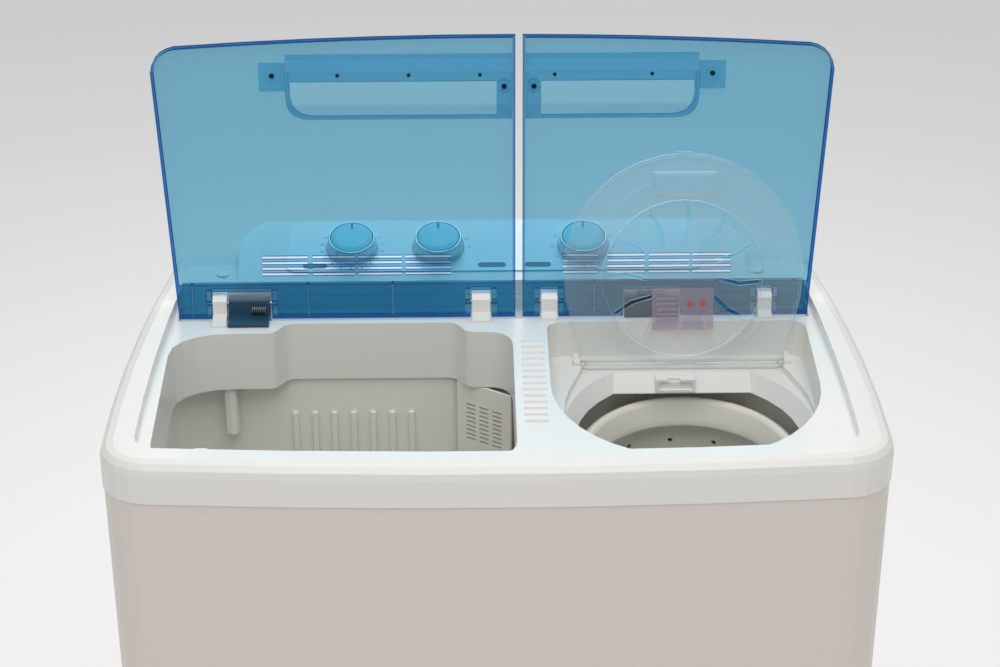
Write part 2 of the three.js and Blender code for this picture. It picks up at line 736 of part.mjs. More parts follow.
function washTub() {
  const t = TUB.wall;
  const outline = (grow) =>
    roundedRectangle(TUB.left - grow, TUB.right + grow, TUB.front - grow, TUB.back + grow, 22 + grow, 45 + grow);
  const ribs = [];
  for (let i = 0; i < 7; i += 1) {
    const x = -224 + i * 21.8;
    ribs.push(block(x - 3, x + 3, TUB.back - 4, TUB.back + 1, TUB.floor + 40, RIM - 131));
  }
  const shell = cut(
    prism(outline(t), TUB.floor - t, TUB.top),
    prism(outline(0), TUB.floor, TUB.top + 1),
  );
  const foot = bar("z", 36, TUB.floor - 8, TUB.floor - 1, PULSATOR.x, PULSATOR.y, 24);
  const tub = cut(
    join(shell, foot, ...ribs),
    bar("z", 12, TUB.floor - 12, TUB.floor + 1, PULSATOR.x, PULSATOR.y, 20),
    bar("y", 9, TUB.back - 2, TUB.back + t + 1, INLET.x, INLET.z, 16),
    bar("y", 12, TUB.back - 2, TUB.back + t + 1, DRAIN.x, DRAIN.neck, 16),
  );
  return part("wash_tub", tub, FINISH.tub());
}

// The slotted cover of the overflow, set across the tub's rear right corner. It draws out of its clips.
const FILTER = { turn: -32, width: 70, top: RIM - 86.3, bottom: 520 };

function overflowFilter() {
  const half = FILTER.width / 2;
  let plate = block(-half, half, -1.5, 1.5, FILTER.bottom, FILTER.top);
  for (const column of [-17, 0, 17]) {
    for (let row = 0; row < 9; row += 1) {
      const z = RIM - 112 - row * 5.6;
      plate = plate.subtract(block(column - 6, column + 6, -2, 2, z - 2.4, z));
    }
  }
  const mesh = part("overflow_filter", plate, FINISH.tub());
  mesh.position.set(-11, 47, 0);
  mesh.rotation.z = radians(FILTER.turn);
  return mesh;
}

// The water inlet: a pipe from the spigot at the back, over the tub's edge and down inside it.
function inletPipe() {
  const path = new THREE.CurvePath();
  const back = DEPTH / 2 - 1;
  path.add(new THREE.LineCurve3(vec(-250, back, INLET.z), vec(-250, 225, INLET.z)));
  path.add(
    new THREE.CubicBezierCurve3(
      vec(-250, 225, INLET.z), vec(-250, 170, INLET.z), vec(INLET.x, 170, INLET.z), vec(INLET.x, 120, INLET.z),
    ),
  );
  path.add(new THREE.LineCurve3(vec(INLET.x, 120, INLET.z), vec(INLET.x, INLET.y + 12, INLET.z)));
  path.add(
    new THREE.QuadraticBezierCurve3(
      vec(INLET.x, INLET.y + 12, INLET.z), vec(INLET.x, INLET.y, INLET.z), vec(INLET.x, INLET.y, INLET.z - 12),
    ),
  );
  path.add(new THREE.LineCurve3(vec(INLET.x, INLET.y, INLET.z - 12), vec(INLET.x, INLET.y, RIM - 148)));
  return part("water_inlet_pipe", tube(path, 8, 6, 16, 4), FINISH.tub());
}

// The pulsator: a low dish with curved vanes, on the shaft at the bottom of the wash tub.
function pulsator() {
  const base = TUB.floor + 5;
  const dish = turned(
    [[0, base], [PULSATOR.radius - 6, base], [PULSATOR.radius, base + 5], [PULSATOR.radius - 2, base + 9],
      [70, base + 12], [30, base + 24], [0, base + 28]],
    PULSATOR.x,
    PULSATOR.y,
    24,
  );
  const vanes = [0, 1, 2, 3].map((i) => {
    const shape = new THREE.Shape();
    shape.moveTo(16, -5);
    shape.quadraticCurveTo(66, -16, 108, -2);
    shape.lineTo(108, 4);
    shape.quadraticCurveTo(66, 2, 16, 5);
    const vane = new THREE.ExtrudeGeometry(shape, { depth: 20, bevelEnabled: false, curveSegments: 5 });
    return solid(vane.rotateZ((i * Math.PI) / 2).translate(PULSATOR.x, PULSATOR.y, base + 6));
  });
  const socket = bar("z", 8.4, base - 1, base + 16, PULSATOR.x, PULSATOR.y, 20);
  return part("pulsator", cut(join(dish, ...vanes), socket), FINISH.white());
}

function pulsatorShaft() {
  const profile = [[0, 280], [8, 280], [8, TUB.floor + 20], [0, TUB.floor + 20]];
  return part("pulsator_shaft", turned(profile, PULSATOR.x, PULSATOR.y, 20), FINISH.steel());
}

function bearingHousing() {
  const top = TUB.floor - 8 - GAP;
  const profile = [[8.4, 322], [24, 322], [26, 380], [60, top - 12], [64, top], [8.4, top]];
  return part("pulsator_bearing_housing", turned(profile, PULSATOR.x, PULSATOR.y, 28), FINISH.motor());
}

// A grooved pulley. The inner radius is its bore, or 0 for a solid one.
function pulley(x, y, radius, bore) {
  const { bottom, height } = PULLEYS;
  const middle = bottom + height / 2;
  const profile = [
    [bore, bottom],
    [radius, bottom],
    [radius, middle - 6],
    [radius - 6, middle - 2],
    [radius - 6, middle + 2],
    [radius, middle + 6],
    [radius, bottom + height],
    [bore, bottom + height],
  ];
  return turned(profile, x, y);
}

function drivenPulley() {
  return part("driven_pulley", pulley(PULSATOR.x, PULSATOR.y, PULLEYS.driven, 8.4), FINISH.motor());
}

// The small pulley is cast onto the wash motor's shaft.
function motorPulley() {
  const { x, y, top } = WASH_MOTOR;
  const shaft = bar("z", 6, top - 8, PULLEYS.bottom + PULLEYS.height + 4, x, y, 16);
  return part("motor_pulley", join(pulley(x, y, PULLEYS.driver, 0), shaft), FINISH.steel());
}

// The belt lies in both grooves: a straight-sided loop around the two pulleys.
function driveBelt() {
  const middle = PULLEYS.bottom + PULLEYS.height / 2;
  const near = PULLEYS.driver - 6 + 2 * GAP;
  const far = PULLEYS.driven - 6 + 2 * GAP;
  const span = PULSATOR.x - WASH_MOTOR.x;
  const loop = (grow) => {
    const a = Math.acos((near - far) / span);
    const shape = new THREE.Shape();
    shape.absarc(WASH_MOTOR.x, WASH_MOTOR.y, near + grow, a, 2 * Math.PI - a);
    shape.absarc(PULSATOR.x, PULSATOR.y, far + grow, -a, a);
    return shape;
  };
  const outside = prism(loop(PULLEYS.belt), middle - 1.6, middle + 1.6, 8);
  const belt = cut(outside, prism(loop(0), middle - 3, middle + 3, 8));
  return part("drive_belt", belt, FINISH.rubber());
}

function washMotor() {
  const { x, y, radius, bottom, top } = WASH_MOTOR;
  const body = turned(
    [[0, bottom], [radius - 12, bottom], [radius, bottom + 12], [radius, top - 14], [radius - 14, top], [18, top],
      [18, top + 10], [6.4, top + 10], [6.4, top - 10], [0, top - 10]],
    x,
    y,
    24,
  );
  return part("wash_motor", body, FINISH.motor());
}

// ---------------------------------------------------------------- spin side

function spinTub() {
  const { radius, wall, top, floor } = SPIN_TUB;
  const profile = [
    [30, floor - wall],
    [radius + wall, floor - wall],
    [radius + wall, top],
    [radius, top],
    [radius, floor],
    [30, floor],
  ];
  const outlet = bar("y", 12, SPIN.y + radius - 4, SPIN.y + radius + wall + 2, SPIN.x, floor + 15, 16);
  return part("spin_tub", cut(turned(profile, SPIN.x, SPIN.y, 36), outlet), FINISH.tub());
}

// The basket: a perforated drum with a raised cone in its floor, where the shaft is bolted.
function spinBasket() {
  const { radius, wall, ringBottom, floor } = BASKET;
  let drum = turned(
    [
      [9.4, floor - 12],
      [26, floor - 12],
      [30, floor],
      [radius - 8, floor],
      [radius, floor + 8],
      [radius, ringBottom - GAP],
      [radius - wall, ringBottom - GAP],
      [radius - wall, floor + 9],
      [radius - 9, floor + wall],
      [44, floor + wall],
      [22, floor + 26],
      [9.4, floor + 28],
    ],
    SPIN.x,
    SPIN.y,
    32,
  );
  for (let row = 0; row < 2; row += 1) {
    for (let i = 0; i < 4; i += 1) {
      const angle = ((i + row / 2) * Math.PI) / 4;
      const drill = new THREE.CylinderGeometry(3, 3, 2 * radius + 10, 6).rotateZ(angle);
      drum = drum.subtract(solid(drill.translate(SPIN.x, SPIN.y, ringBottom - 30 - row * 120)));
    }
  }
  return part("spin_basket", drum, FINISH.tub());
}

// The balance ring that closes the basket's top edge and narrows its mouth.
function balanceRing() {
  const { radius, throat, ringTop, ringBottom } = BASKET;
  const profile = [
    [radius, ringBottom],
    [radius, ringTop - 20],
    [radius - 4, ringTop - 9],
    [radius - 10, ringTop - 2],
    [radius - 15, ringTop],
    [radius - 19, ringTop - 4],
    [throat, ringBottom + 8],
    [throat, ringBottom],
  ];
  return part("balance_ring", turned(profile, SPIN.x, SPIN.y, 32), FINISH.tub());
}

function spinShaft() {
  const foot = SPIN_MOTOR.top - 10;
  const head = BASKET.floor + 32;
  const profile = [[0, foot], [9, foot], [9, head], [0, head]];
  return part("spin_shaft", turned(profile, SPIN.x, SPIN.y, 20), FINISH.steel());
}

// The ribbed rubber seal between the dryer's tub and its shaft.
function shaftSeal() {
  const top = SPIN_TUB.floor + 10;
  const low = SPIN_TUB.floor - SPIN_TUB.wall - GAP;
  const profile = [
    [9.5, low - 26],
    [20, low - 26],
    [26, low - 20],
    [20, low - 14],
    [26, low - 8],
    [22, low],
    [22, top],
    [9.5, top],
  ];
  return part("spin_shaft_seal", turned(profile, SPIN.x, SPIN.y, 24), FINISH.rubber());
}

function brakeDrum() {
  const { radius, bottom, top } = BRAKE;
  const profile = [[9.3, bottom], [radius, bottom], [radius, top], [radius - 4, top], [radius - 4, bottom + 5],
    [20, bottom + 5], [20, top], [9.3, top]];
  return part("brake_drum", turned(profile, SPIN.x, SPIN.y, 28), FINISH.motor());
}

// The brake: an arm on a pivot, with a pad that grips the drum while the dryer's lid is up.
function brakeLever() {
  const { radius, bottom, pivotX, pivotY } = BRAKE;
  const z = bottom + 8;
  const padX = SPIN.x + radius + GAP;
  const pad = cut(
    block(padX - 6, padX + 12, SPIN.y - 14, SPIN.y + 14, z, z + 18),
    bar("z", radius + GAP, z - 1, z + 19, SPIN.x, SPIN.y, 28),
  );
  const arm = block(padX + 4, pivotX + 6, SPIN.y - 6, SPIN.y + 6, z + 4, z + 12);
  const link = block(pivotX - 6, pivotX + 6, SPIN.y - 6, pivotY, z + 4, z + 12);
  const eye = bar("z", 10, z, z + 16, pivotX, pivotY, 20);
  const bore = bar("z", 4.4, z - 1, z + 17, pivotX, pivotY, 16);
  return part("brake_lever", cut(join(pad, arm, link, eye), bore), FINISH.steel());
}

function spinMotor() {
  const { radius, plate, bottom, top } = SPIN_MOTOR;
  const can = turned(
    [[0, plate], [radius - 10, plate], [radius, bottom + 8], [radius, top - 12], [radius - 12, top], [9.4, top],
      [9.4, top - 14], [0, top - 14]],
    SPIN.x,
    SPIN.y,
    32,
  );
  const legs = spinMounts().map(([x, y]) => bar("z", 20, plate, bottom, x, y, 12));
  const { pivotX, pivotY } = BRAKE;
  const bracket = block(pivotX - 56, pivotX + 8, pivotY - 8, pivotY + 8, top - 26, top - 20);
  const stalk = block(pivotX - 6, pivotX + 6, pivotY - 6, pivotY + 6, top - 22, BRAKE.bottom + 7.5);
  const pivot = bar("z", 4, BRAKE.bottom + 6, BRAKE.bottom + 28, pivotX, pivotY, 16);
  return part("spin_motor", join(can, ...legs, bracket, stalk, pivot), FINISH.motor());
}

// A rubber-sleeved spring mount.
function springMount(name, [x, y]) {
  const low = 60 + GAP;
  const high = SPIN_MOTOR.plate - GAP;
  const profile = [[0, low], [18, low], [15, low + 8], [19, (low + high) / 2], [15, high - 8], [18, high], [0, high]];
  return part(name, turned(profile, x, y, 12), FINISH.rubber());
}

// ---------------------------------------------------------------- drain and electrical parts

const DRAIN = { x: -60, y: 112, neck: 452, seat: 420, foot: 388 };

// The drain valve: an upright body with an inlet from the wash tub, a seat inside and an outlet below.
function drainValve() {
  const { x, y, neck, seat, foot } = DRAIN;
  const body = join(
    bar("z", 24, foot, neck + 26, x, y, 24),
    bar("y", 11, TUB.back - 0.5, y, x, neck, 16),
    bar("y", 11, y, y + 40, x, foot + 14, 16),
    bar("x", 11, x, x + 40, y, foot + 14, 16),
  );
  const hollow = join(
    bar("z", 21, seat, neck + 27, x, y, 24),
    bar("z", 13, foot + 3, seat + 1, x, y, 20),
    bar("y", 9, TUB.back - 2, y, x, neck, 16),
    bar("y", 9, y, y + 41, x, foot + 14, 16),
    bar("x", 9, x, x + 41, y, foot + 14, 16),
  );
  return part("drain_valve_body", cut(body, hollow), FINISH.grey());
}

// The plunger that closes the valve, on the pull rod that the selector lifts.
function drainPlunger() {
  const { x, y, seat, neck } = DRAIN;
  const plug = turned(
    [[0, seat + GAP], [18, seat + GAP], [18, seat + 8], [2.5, seat + 12], [2.5, RIM - 60], [0, RIM - 60]],
    x,
    y,
    20,
  );
  const guide = bar("z", 19, neck + 4, neck + 8, x, y, 20);
  return part("drain_plunger", join(plug, guide), FINISH.rubber());
}

function drainOutlet() {
  const from = vec(DRAIN.x, DRAIN.y + 42, DRAIN.foot + 14);
  const path = new THREE.CatmullRomCurve3([
    from,
    vec(DRAIN.x, 185, DRAIN.foot + 8),
    vec(-100, 205, 300),
    vec(OUTLET.x, 196, 150),
    vec(OUTLET.x, 222, OUTLET.z),
    vec(OUTLET.x, 248, OUTLET.z),
  ]);
  return part("drain_hose", tube(path, 14, 11.5, 12, 4), FINISH.grey());
}

function spinDrainHose() {
  const from = vec(DRAIN.x + 42, DRAIN.y, DRAIN.foot + 14);
  const to = vec(SPIN.x, SPIN.y + SPIN_TUB.radius + SPIN_TUB.wall - 1, SPIN_TUB.floor + 15);
  const path = new THREE.CatmullRomCurve3([
    from,
    vec(20, DRAIN.y + 4, DRAIN.foot + 14),
    vec(150, 150, DRAIN.foot + 24),
    vec(to.x, 130, to.z),
    to,
  ]);
  return part("spin_drain_hose", tube(path, 11, 9, 12, 4), FINISH.grey());
}

function capacitor() {
  const low = FEET.height + PAN_FLOOR + 2 * GAP;
  const profile = [[0, low], [22, low], [22, low + 78], [19, low + 82], [0, low + 82]];
  return part("capacitor", turned(profile, 30, 160, 24), FINISH.black());
}

function cordGland() {
  const back = DEPTH / 2 - CABINET.back;
  const profile = [[3.6, -8], [8, -8], [8, 0.4], [12, 0.4], [12, 3.4], [3.6, 3.4]];
  const mesh = part("cord_gland", turned(profile, 0, 0, 20), FINISH.black());
  mesh.rotation.x = -Math.PI / 2;
  mesh.position.set(CORD.x, back, CORD.z);
  return mesh;
}

// ---------------------------------------------------------------- outer lids

// The cut-outs of each lid's hinge strip, for what stands in the gutter below it.
const LEFT_NOTCHES = [[-312.5, -246], [-25.5, -2.5]];
const RIGHT_NOTCHES = [[51.2, 71.9], [144, 208], [291.5, 310]];

// A lid's outline: side is -1 for the left lid and 1 for the right one.
function lidOutline(side, inset) {
  const inner = LID_SPLIT + side * (LID_GAP / 2 + inset);
  const hingeX = side * (LID.hingeHalf - inset);
  const freeX = side * (LID.freeHalf - inset);
  const r = LID.corner - inset;
  const edge = (x) => LID.length - inset - bowAt(x);
  const endX = freeX - side * r;
  const middle = (inner + endX) / 2;
  const slopeAtInner = (-2 * bowAt(inner)) / inner;
  const shape = new THREE.Shape();
  shape.moveTo(inner, inset);
  shape.lineTo(inner, edge(inner));
  shape.quadraticCurveTo(middle, edge(inner) + slopeAtInner * (middle - inner), endX, edge(endX));
  shape.quadraticCurveTo(freeX - side * 3, edge(endX) - 4, freeX, edge(endX) - r - 2);
  shape.lineTo(hingeX, inset);
  return shape;
}

// A box in a lid's own frame: across, from the hinge edge, and in from the outer face.
function lidBlock(x0, x1, s0, s1, t0, t1) {
  const z = LID_HINGE.fromFace;
  return block(x0, x1, s0 - LID_HINGE.fromEdge, s1 - LID_HINGE.fromEdge, t0 - z, t1 - z);
}

function lidPrism(shape, t0, t1) {
  return prism(shape, t0 - LID_HINGE.fromFace, t1 - LID_HINGE.fromFace, 8).translate([0, -LID_HINGE.fromEdge, 0]);
}

// The plan of the finger pocket, set in from its edge: its lower corner on the far side is rounded.
function gripPlan(side, length, inset) {
  const near = LID_SPLIT + side * (HANDLE_START + inset);
  const far = LID_SPLIT + side * (HANDLE_START + length - inset);
  const foot = LID_SPLIT + side * (HANDLE_START + length - inset - 26);
  const shape = new THREE.Shape();
  shape.moveTo(near, 220);
  shape.lineTo(near, 310);
  shape.lineTo(far, 310);
  shape.lineTo(far, 256);
  shape.quadraticCurveTo(far, 227 + inset, foot, 227 + inset);
  shape.lineTo(foot, 220);
  return lidPrism(shape, -1, 30);
}

function lidPanel(name, side, notches, ribs, ventRuns, pins, gripLength) {
  const outside = cut(
    roundedPrism(lidOutline(side, 0), -LID_HINGE.fromFace, LID.depth + 8 - LID_HINGE.fromFace, 5).translate([
      0, -LID_HINGE.fromEdge, 0,
    ]),
    lidBlock(-500, 500, -50, 500, LID.depth, LID.depth + 20),
  );
  const tray = cut(outside, lidPrism(lidOutline(side, LID.skirt), LID.panel, LID.depth + 1));
  const strip = lidPrism(lidOutline(side, 1), LID.depth - 2.5, LID.depth).intersect(
    lidBlock(-500, 500, 0, BAND, 0, 50),
  );
  const ribBlocks = ribs.map((x) => lidBlock(x - 1, x + 1, 1, BAND, 1, LID.depth - 1));
  const bosses = pins.flatMap(([x0, x1]) => [
    lidBlock(x0, x0 + 6, 2, NOTCH, 1, LID.depth - 1),
    lidBlock(x1 - 6, x1, 2, NOTCH, 1, LID.depth - 1),
  ]);
  const cutouts = notches.map(([x0, x1]) => lidBlock(x0, x1, -1, NOTCH, -1, LID.depth + 1));
  const vents = ventRuns.flatMap(([x0, x1]) =>
    [0, 1, 2, 3].map((row) => lidBlock(x0, x1, 47 + row * 6.6, 50.4 + row * 6.6, -1, LID.panel + 1)),
  );
  const bores = pins.map(([x0, x1]) => bar("x", LID_HINGE.bore, x0 - 1, x1 + 1, 0, 0, 16));
  const body = join(tray, strip, ...ribBlocks, ...bosses);
  const gripNear = LID_SPLIT + side * 24;
  const gripFar = LID_SPLIT + side * (HANDLE_START + gripLength);
  const gripHole = gripPlan(side, gripLength, 4).intersect(
    lidBlock(Math.min(gripNear, gripFar), Math.max(gripNear, gripFar), 231, 269, -1, LID.panel + 1),
  );
  return part(name, cut(body, ...cutouts, ...vents, ...bores, gripHole), FINISH.blue());
}

// The finger pocket behind a lid's free edge: a scoop screwed to the inside, open to the outside.
function lidHandle(name, side, length) {
  const scoop = [[300, 3.4], [300, 5.9], [295, 5.9], [284, 18], [262, 18], [245, 14], [233, 7.5], [227, 3.4]];
  const inside = [[292.5, 3], [282.5, 15.6], [262.5, 15.6], [247, 11.8], [235.5, 5.6], [230.5, 3]];
  const local = (points) => polygon(points.map(([s, t]) => [s - LID_HINGE.fromEdge, t - LID_HINGE.fromFace]));
  const x = (d) => LID_SPLIT + side * d;
  const span = (d0, d1) => [Math.min(x(d0), x(d1)), Math.max(x(d0), x(d1))];
  const shell = cut(
    sidePrism(local(scoop), ...span(HANDLE_START, HANDLE_START + length)).intersect(gripPlan(side, length, 0)),
    sidePrism(local(inside), ...span(HANDLE_START + 2.5, HANDLE_START + length - 2.5)).intersect(
      gripPlan(side, length, 2.5),
    ),
  );
  const tab = lidBlock(x(length + 4), x(length + 36), 260, 291, LID.panel + GAP, LID.panel + 3);
  const boss = lidPrism(new THREE.Shape().absarc(x(length + 22), 277, 6.5, 0, 2 * Math.PI), LID.panel + GAP, 8);
  const column = lidPrism(new THREE.Shape().absarc(x(16), 266, 7, 0, 2 * Math.PI), LID.panel + GAP, 18);
  const holes = [
    lidPrism(new THREE.Shape().absarc(x(length + 22), 277, 3.5, 0, 2 * Math.PI), 5, 9),
    lidPrism(new THREE.Shape().absarc(x(16), 266, 4.5, 0, 2 * Math.PI), 13, 20),
  ];
  return part(name, cut(join(shell, tab, boss, column), ...holes), FINISH.blue());
}

function hingePin(name, x0, x1) {
  return part(name, bar("x", LID_HINGE.pin, x0, x1, 0, 0, 16), FINISH.steel());
}

// A lid's own frame: its origin on the hinge axis, Y up the lid and Z towards the inside.
function onLidHinge() {
  const group = new THREE.Group();
  group.position.set(0, LID_HINGE.y, LID_HINGE.z);
  group.rotation.x = radians(90 - LID.lean);
  return group;
}

function washLid() {
  const group = onLidHinge();
  const pins = [[-318.5, -240], [-31.5, 3.5]];
  const vents = [[-256, -205], [-200, -153], [-149.5, -101], [-97.5, -47]];
  group.add(
    lidPanel("wash_lid", -1, LEFT_NOTCHES, [-334, -206, -112], vents, pins, 243),
    lidHandle("wash_lid_handle", -1, 243),
    hingePin("wash_lid_pin_left", -317, -241),
    hingePin("wash_lid_pin_right", -30, 2),
  );
  return group;
}

function spinLid() {
  const group = onLidHinge();
  const pins = [[45.2, 77.9], [285.5, 316]];
  const vents = [[77, 115.5], [126, 168], [172, 217.5], [220, 263]];
  group.add(
    lidPanel("spin_lid", 1, RIGHT_NOTCHES, [112, 248, 334], vents, pins, 186),
    lidHandle("spin_lid_handle", 1, 186),
    hingePin("spin_lid_pin_left", 46.5, 76.5),
    hingePin("spin_lid_pin_right", 287, 314.5),
  );
  return group;
}

// ---------------------------------------------------------------- inner lid

// The clear lid over the basket: a sheet with a stiffening rib around it, a finger pocket at the front,
// curved air slots in a raised ring, and a hinge barrel along the back.
function innerLid() {
  const half = INNER_LID.sheet / 2;
  const sheet = prism(innerLidOutline(0), -half, half);
  const rib = cut(
    prism(innerLidOutline(0), 0, INNER_LID.rib),
    prism(innerLidOutline(-3), -1, INNER_LID.rib + 1),
  );
  const ring = turned([[103, 0], [106, 0], [106, half + 1.2], [103, half + 1.2]], 0, INNER_LID.centre, 32);
  const slotRing = turned([[87, 0], [90, 0], [89.5, half + 2.8], [87.5, half + 2.8]], 0, SLOTS.centre, 32);
  const lip = sidePrism(polygon([[190, 0], [219, 0], [219, 9], [214, 10.5], [196, 8]]), -35.5, 35.5);
  const pocket = sidePrism(polygon([[192.5, -2], [216.5, -2], [216.5, 7], [213.5, 8], [197, 5.8]]), -33, 33);
  const catchTab = block(-8, 8, 236, 240.5, -half, 3.5);
  const barrel = bar("x", INNER_HINGE.barrel, -119.5, 119.5, 0, 0, 16);
  const body = cut(join(sheet, rib, ring, slotRing, lip, catchTab, barrel), pocket);
  const slots = [];
  for (let i = 0; i < SLOTS.count; i += 1) {
    const shape = new THREE.Shape();
    shape.moveTo(40, -2.2);
    shape.quadraticCurveTo(62, -12, 84, -6);
    shape.lineTo(84, -1.5);
    shape.quadraticCurveTo(62, -6.5, 40, 2.2);
    const slot = new THREE.ExtrudeGeometry(shape, { depth: 12, bevelEnabled: false, curveSegments: 2 });
    slots.push(solid(slot.rotateZ((i * 2 * Math.PI) / SLOTS.count).translate(0, SLOTS.centre, -6)));
  }
  const group = new THREE.Group();
  group.position.set(INNER_HINGE.x, INNER_HINGE.y, INNER_HINGE.z);
  group.rotation.x = radians(90 - INNER_LID.lean);
  group.add(part("inner_lid", cut(body, ...slots), FINISH.clear()));
  return group;
}

// ---------------------------------------------------------------- the machine

function controls() {
  const group = onSlope();
  group.add(
    fasciaPlate(),
    knob("wash_timer_knob", KNOBS.wash),
    knob("selector_knob", KNOBS.selector),
    knob("spin_timer_knob", KNOBS.spin),
    controlUnit("wash_timer", KNOBS.wash, 56, 44, 34),
    controlUnit("selector_switch", KNOBS.selector, 40, 36, 24),
    controlUnit("spin_timer", KNOBS.spin, 50, 44, 34),
  );
  return group;
}

const machine = new THREE.Group();
machine.name = "twin_tub_washing_machine";
machine.add(
  basePan(),
  ...feet(),
  cabinet(),
  rearCover(),
  topDeck(),
  spinLatch(),
  lidDamper(),
  lidSwitch(),
  consoleHousing(),
  controls(),
  screwCap("screw_cap_left", -305),
  screwCap("screw_cap_right", 299),
);
machine.add(
  washTub(),
  overflowFilter(),
  inletPipe(),
  pulsator(),
  pulsatorShaft(),
  bearingHousing(),
  drivenPulley(),
  motorPulley(),
  driveBelt(),
  washMotor(),
);
machine.add(
  spinTub(),
  spinBasket(),
  balanceRing(),
  spinShaft(),
  shaftSeal(),
  brakeDrum(),
  brakeLever(),
  spinMotor(),
  ...spinMounts().map((place, i) => springMount("spin_motor_mount_" + (i + 1), place)),
  drainValve(),
  drainPlunger(),
  drainOutlet(),
  spinDrainHose(),
  capacitor(),
  cordGland(),
);
machine.add(washLid(), spinLid(), innerLid());

export default machine;
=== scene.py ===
"""A twin-tub washing machine, dressed for the camera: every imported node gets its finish, and the pieces
that a coarse solid doesn't do justice to are built again here, in metres, in the same frame."""

import json
import math

import bmesh
import bpy
from mathutils import Matrix, Vector


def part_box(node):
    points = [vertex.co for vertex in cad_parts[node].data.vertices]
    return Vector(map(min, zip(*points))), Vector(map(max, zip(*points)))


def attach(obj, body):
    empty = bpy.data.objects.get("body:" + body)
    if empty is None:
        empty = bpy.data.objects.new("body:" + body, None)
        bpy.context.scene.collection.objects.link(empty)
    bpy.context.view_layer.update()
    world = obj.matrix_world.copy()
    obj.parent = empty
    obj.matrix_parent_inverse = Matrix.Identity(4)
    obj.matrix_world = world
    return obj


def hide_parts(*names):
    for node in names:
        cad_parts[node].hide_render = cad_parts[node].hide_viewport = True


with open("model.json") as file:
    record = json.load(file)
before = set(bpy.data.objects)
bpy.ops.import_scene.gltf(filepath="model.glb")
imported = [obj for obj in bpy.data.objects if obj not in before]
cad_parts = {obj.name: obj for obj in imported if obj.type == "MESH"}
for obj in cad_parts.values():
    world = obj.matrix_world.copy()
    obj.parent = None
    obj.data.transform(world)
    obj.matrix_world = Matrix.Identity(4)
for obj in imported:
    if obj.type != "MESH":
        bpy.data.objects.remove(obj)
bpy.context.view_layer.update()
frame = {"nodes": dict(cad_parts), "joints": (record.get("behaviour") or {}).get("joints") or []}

# ------------------------------------------------------------------------------ base pan and feet
# The plinth is one injection-moulded tray of grey-white polypropylene. It takes the cabinet's walls over
# an upstand and carries both motors. Four rubber feet are pushed into its corners.


def linear(hex_colour):
    """An sRGB hex colour as the linear RGBA that a shader takes."""
    channels = [int(hex_colour[i : i + 2], 16) / 255 for i in (0, 2, 4)]
    return [c / 12.92 if c <= 0.04045 else ((c + 0.055) / 1.055) ** 2.4 for c in channels] + [1.0]


def node(tree, kind, inputs=None, **settings):
    """Adds one node. inputs gives a socket its value, or the output that is linked to it."""
    made = tree.nodes.new(kind)
    for key, value in settings.items():
        setattr(made, key, value)
    for key, value in (inputs or {}).items():
        if isinstance(value, bpy.types.NodeSocket):
            tree.links.new(value, made.inputs[key])
        else:
            made.inputs[key].default_value = value
    return made


def surface(name, colour, roughness, metallic=0.0, cloud_mm=90.0, cloud=0.04, grain_mm=0.8, grain=0.06):
    """An opaque finish: a colour that drifts slightly over cloud_mm, and a fine grain in its relief."""
    material = bpy.data.materials.new(name)
    material.use_nodes = True
    tree = material.node_tree
    tree.nodes.clear()
    place = node(tree, "ShaderNodeTexCoord").outputs["Object"]
    drift = node(tree, "ShaderNodeTexNoise", {"Vector": place, "Scale": 1000 / cloud_mm, "Detail": 3.0})
    fine = node(tree, "ShaderNodeTexNoise", {"Vector": place, "Scale": 1000 / grain_mm, "Detail": 2.0})
    full = linear(colour)
    dim = [c * (1 - cloud) for c in full[:3]] + [1.0]
    tone = node(tree, "ShaderNodeMix", {0: drift.outputs["Fac"], 6: dim, 7: full}, data_type="RGBA")
    rough = node(
        tree,
        "ShaderNodeMapRange",
        {"Value": drift.outputs["Fac"], "To Min": roughness * 0.85, "To Max": min(1.0, roughness * 1.15)},
    )
    relief = node(
        tree,
        "ShaderNodeBump",
        {"Height": fine.outputs["Fac"], "Strength": grain, "Distance": grain_mm / 4000},
    )
    shader = node(
        tree,
        "ShaderNodeBsdfPrincipled",
        {
            "Base Color": tone.outputs[2],
            "Roughness": rough.outputs[0],
            "Metallic": metallic,
            "Normal": relief.outputs["Normal"],
        },
    )
    node(tree, "ShaderNodeOutputMaterial", {"Surface": shader.outputs["BSDF"]})
    return material


SHARP_ANGLE = math.radians(34)


def smooth_shading_group():
    """Shades faces smooth, and leaves an edge sharp where its faces meet at more than the angle."""
    group = bpy.data.node_groups.new("smooth_shading", "GeometryNodeTree")
    group.interface.new_socket(name="Geometry", in_out="INPUT", socket_type="NodeSocketGeometry")
    limit = group.interface.new_socket(name="Sharp angle", in_out="INPUT", socket_type="NodeSocketFloat")
    limit.default_value = SHARP_ANGLE
    group.interface.new_socket(name="Geometry", in_out="OUTPUT", socket_type="NodeSocketGeometry")
    given = node(group, "NodeGroupInput")
    angle = node(group, "GeometryNodeInputMeshEdgeAngle").outputs[0]
    sharp = node(
        group,
        "FunctionNodeCompare",
        {0: angle, 1: given.outputs[1]},
        data_type="FLOAT",
        operation="GREATER_THAN",
    )
    faces = node(group, "GeometryNodeSetShadeSmooth", {0: given.outputs[0], 2: True}, domain="FACE")
    edges = node(
        group,
        "GeometryNodeSetShadeSmooth",
        {0: faces.outputs[0], 1: sharp.outputs[0], 2: False},
        domain="EDGE",
    )
    node(group, "NodeGroupOutput", {0: edges.outputs[0]})
    return group


smooth_shading = smooth_shading_group()


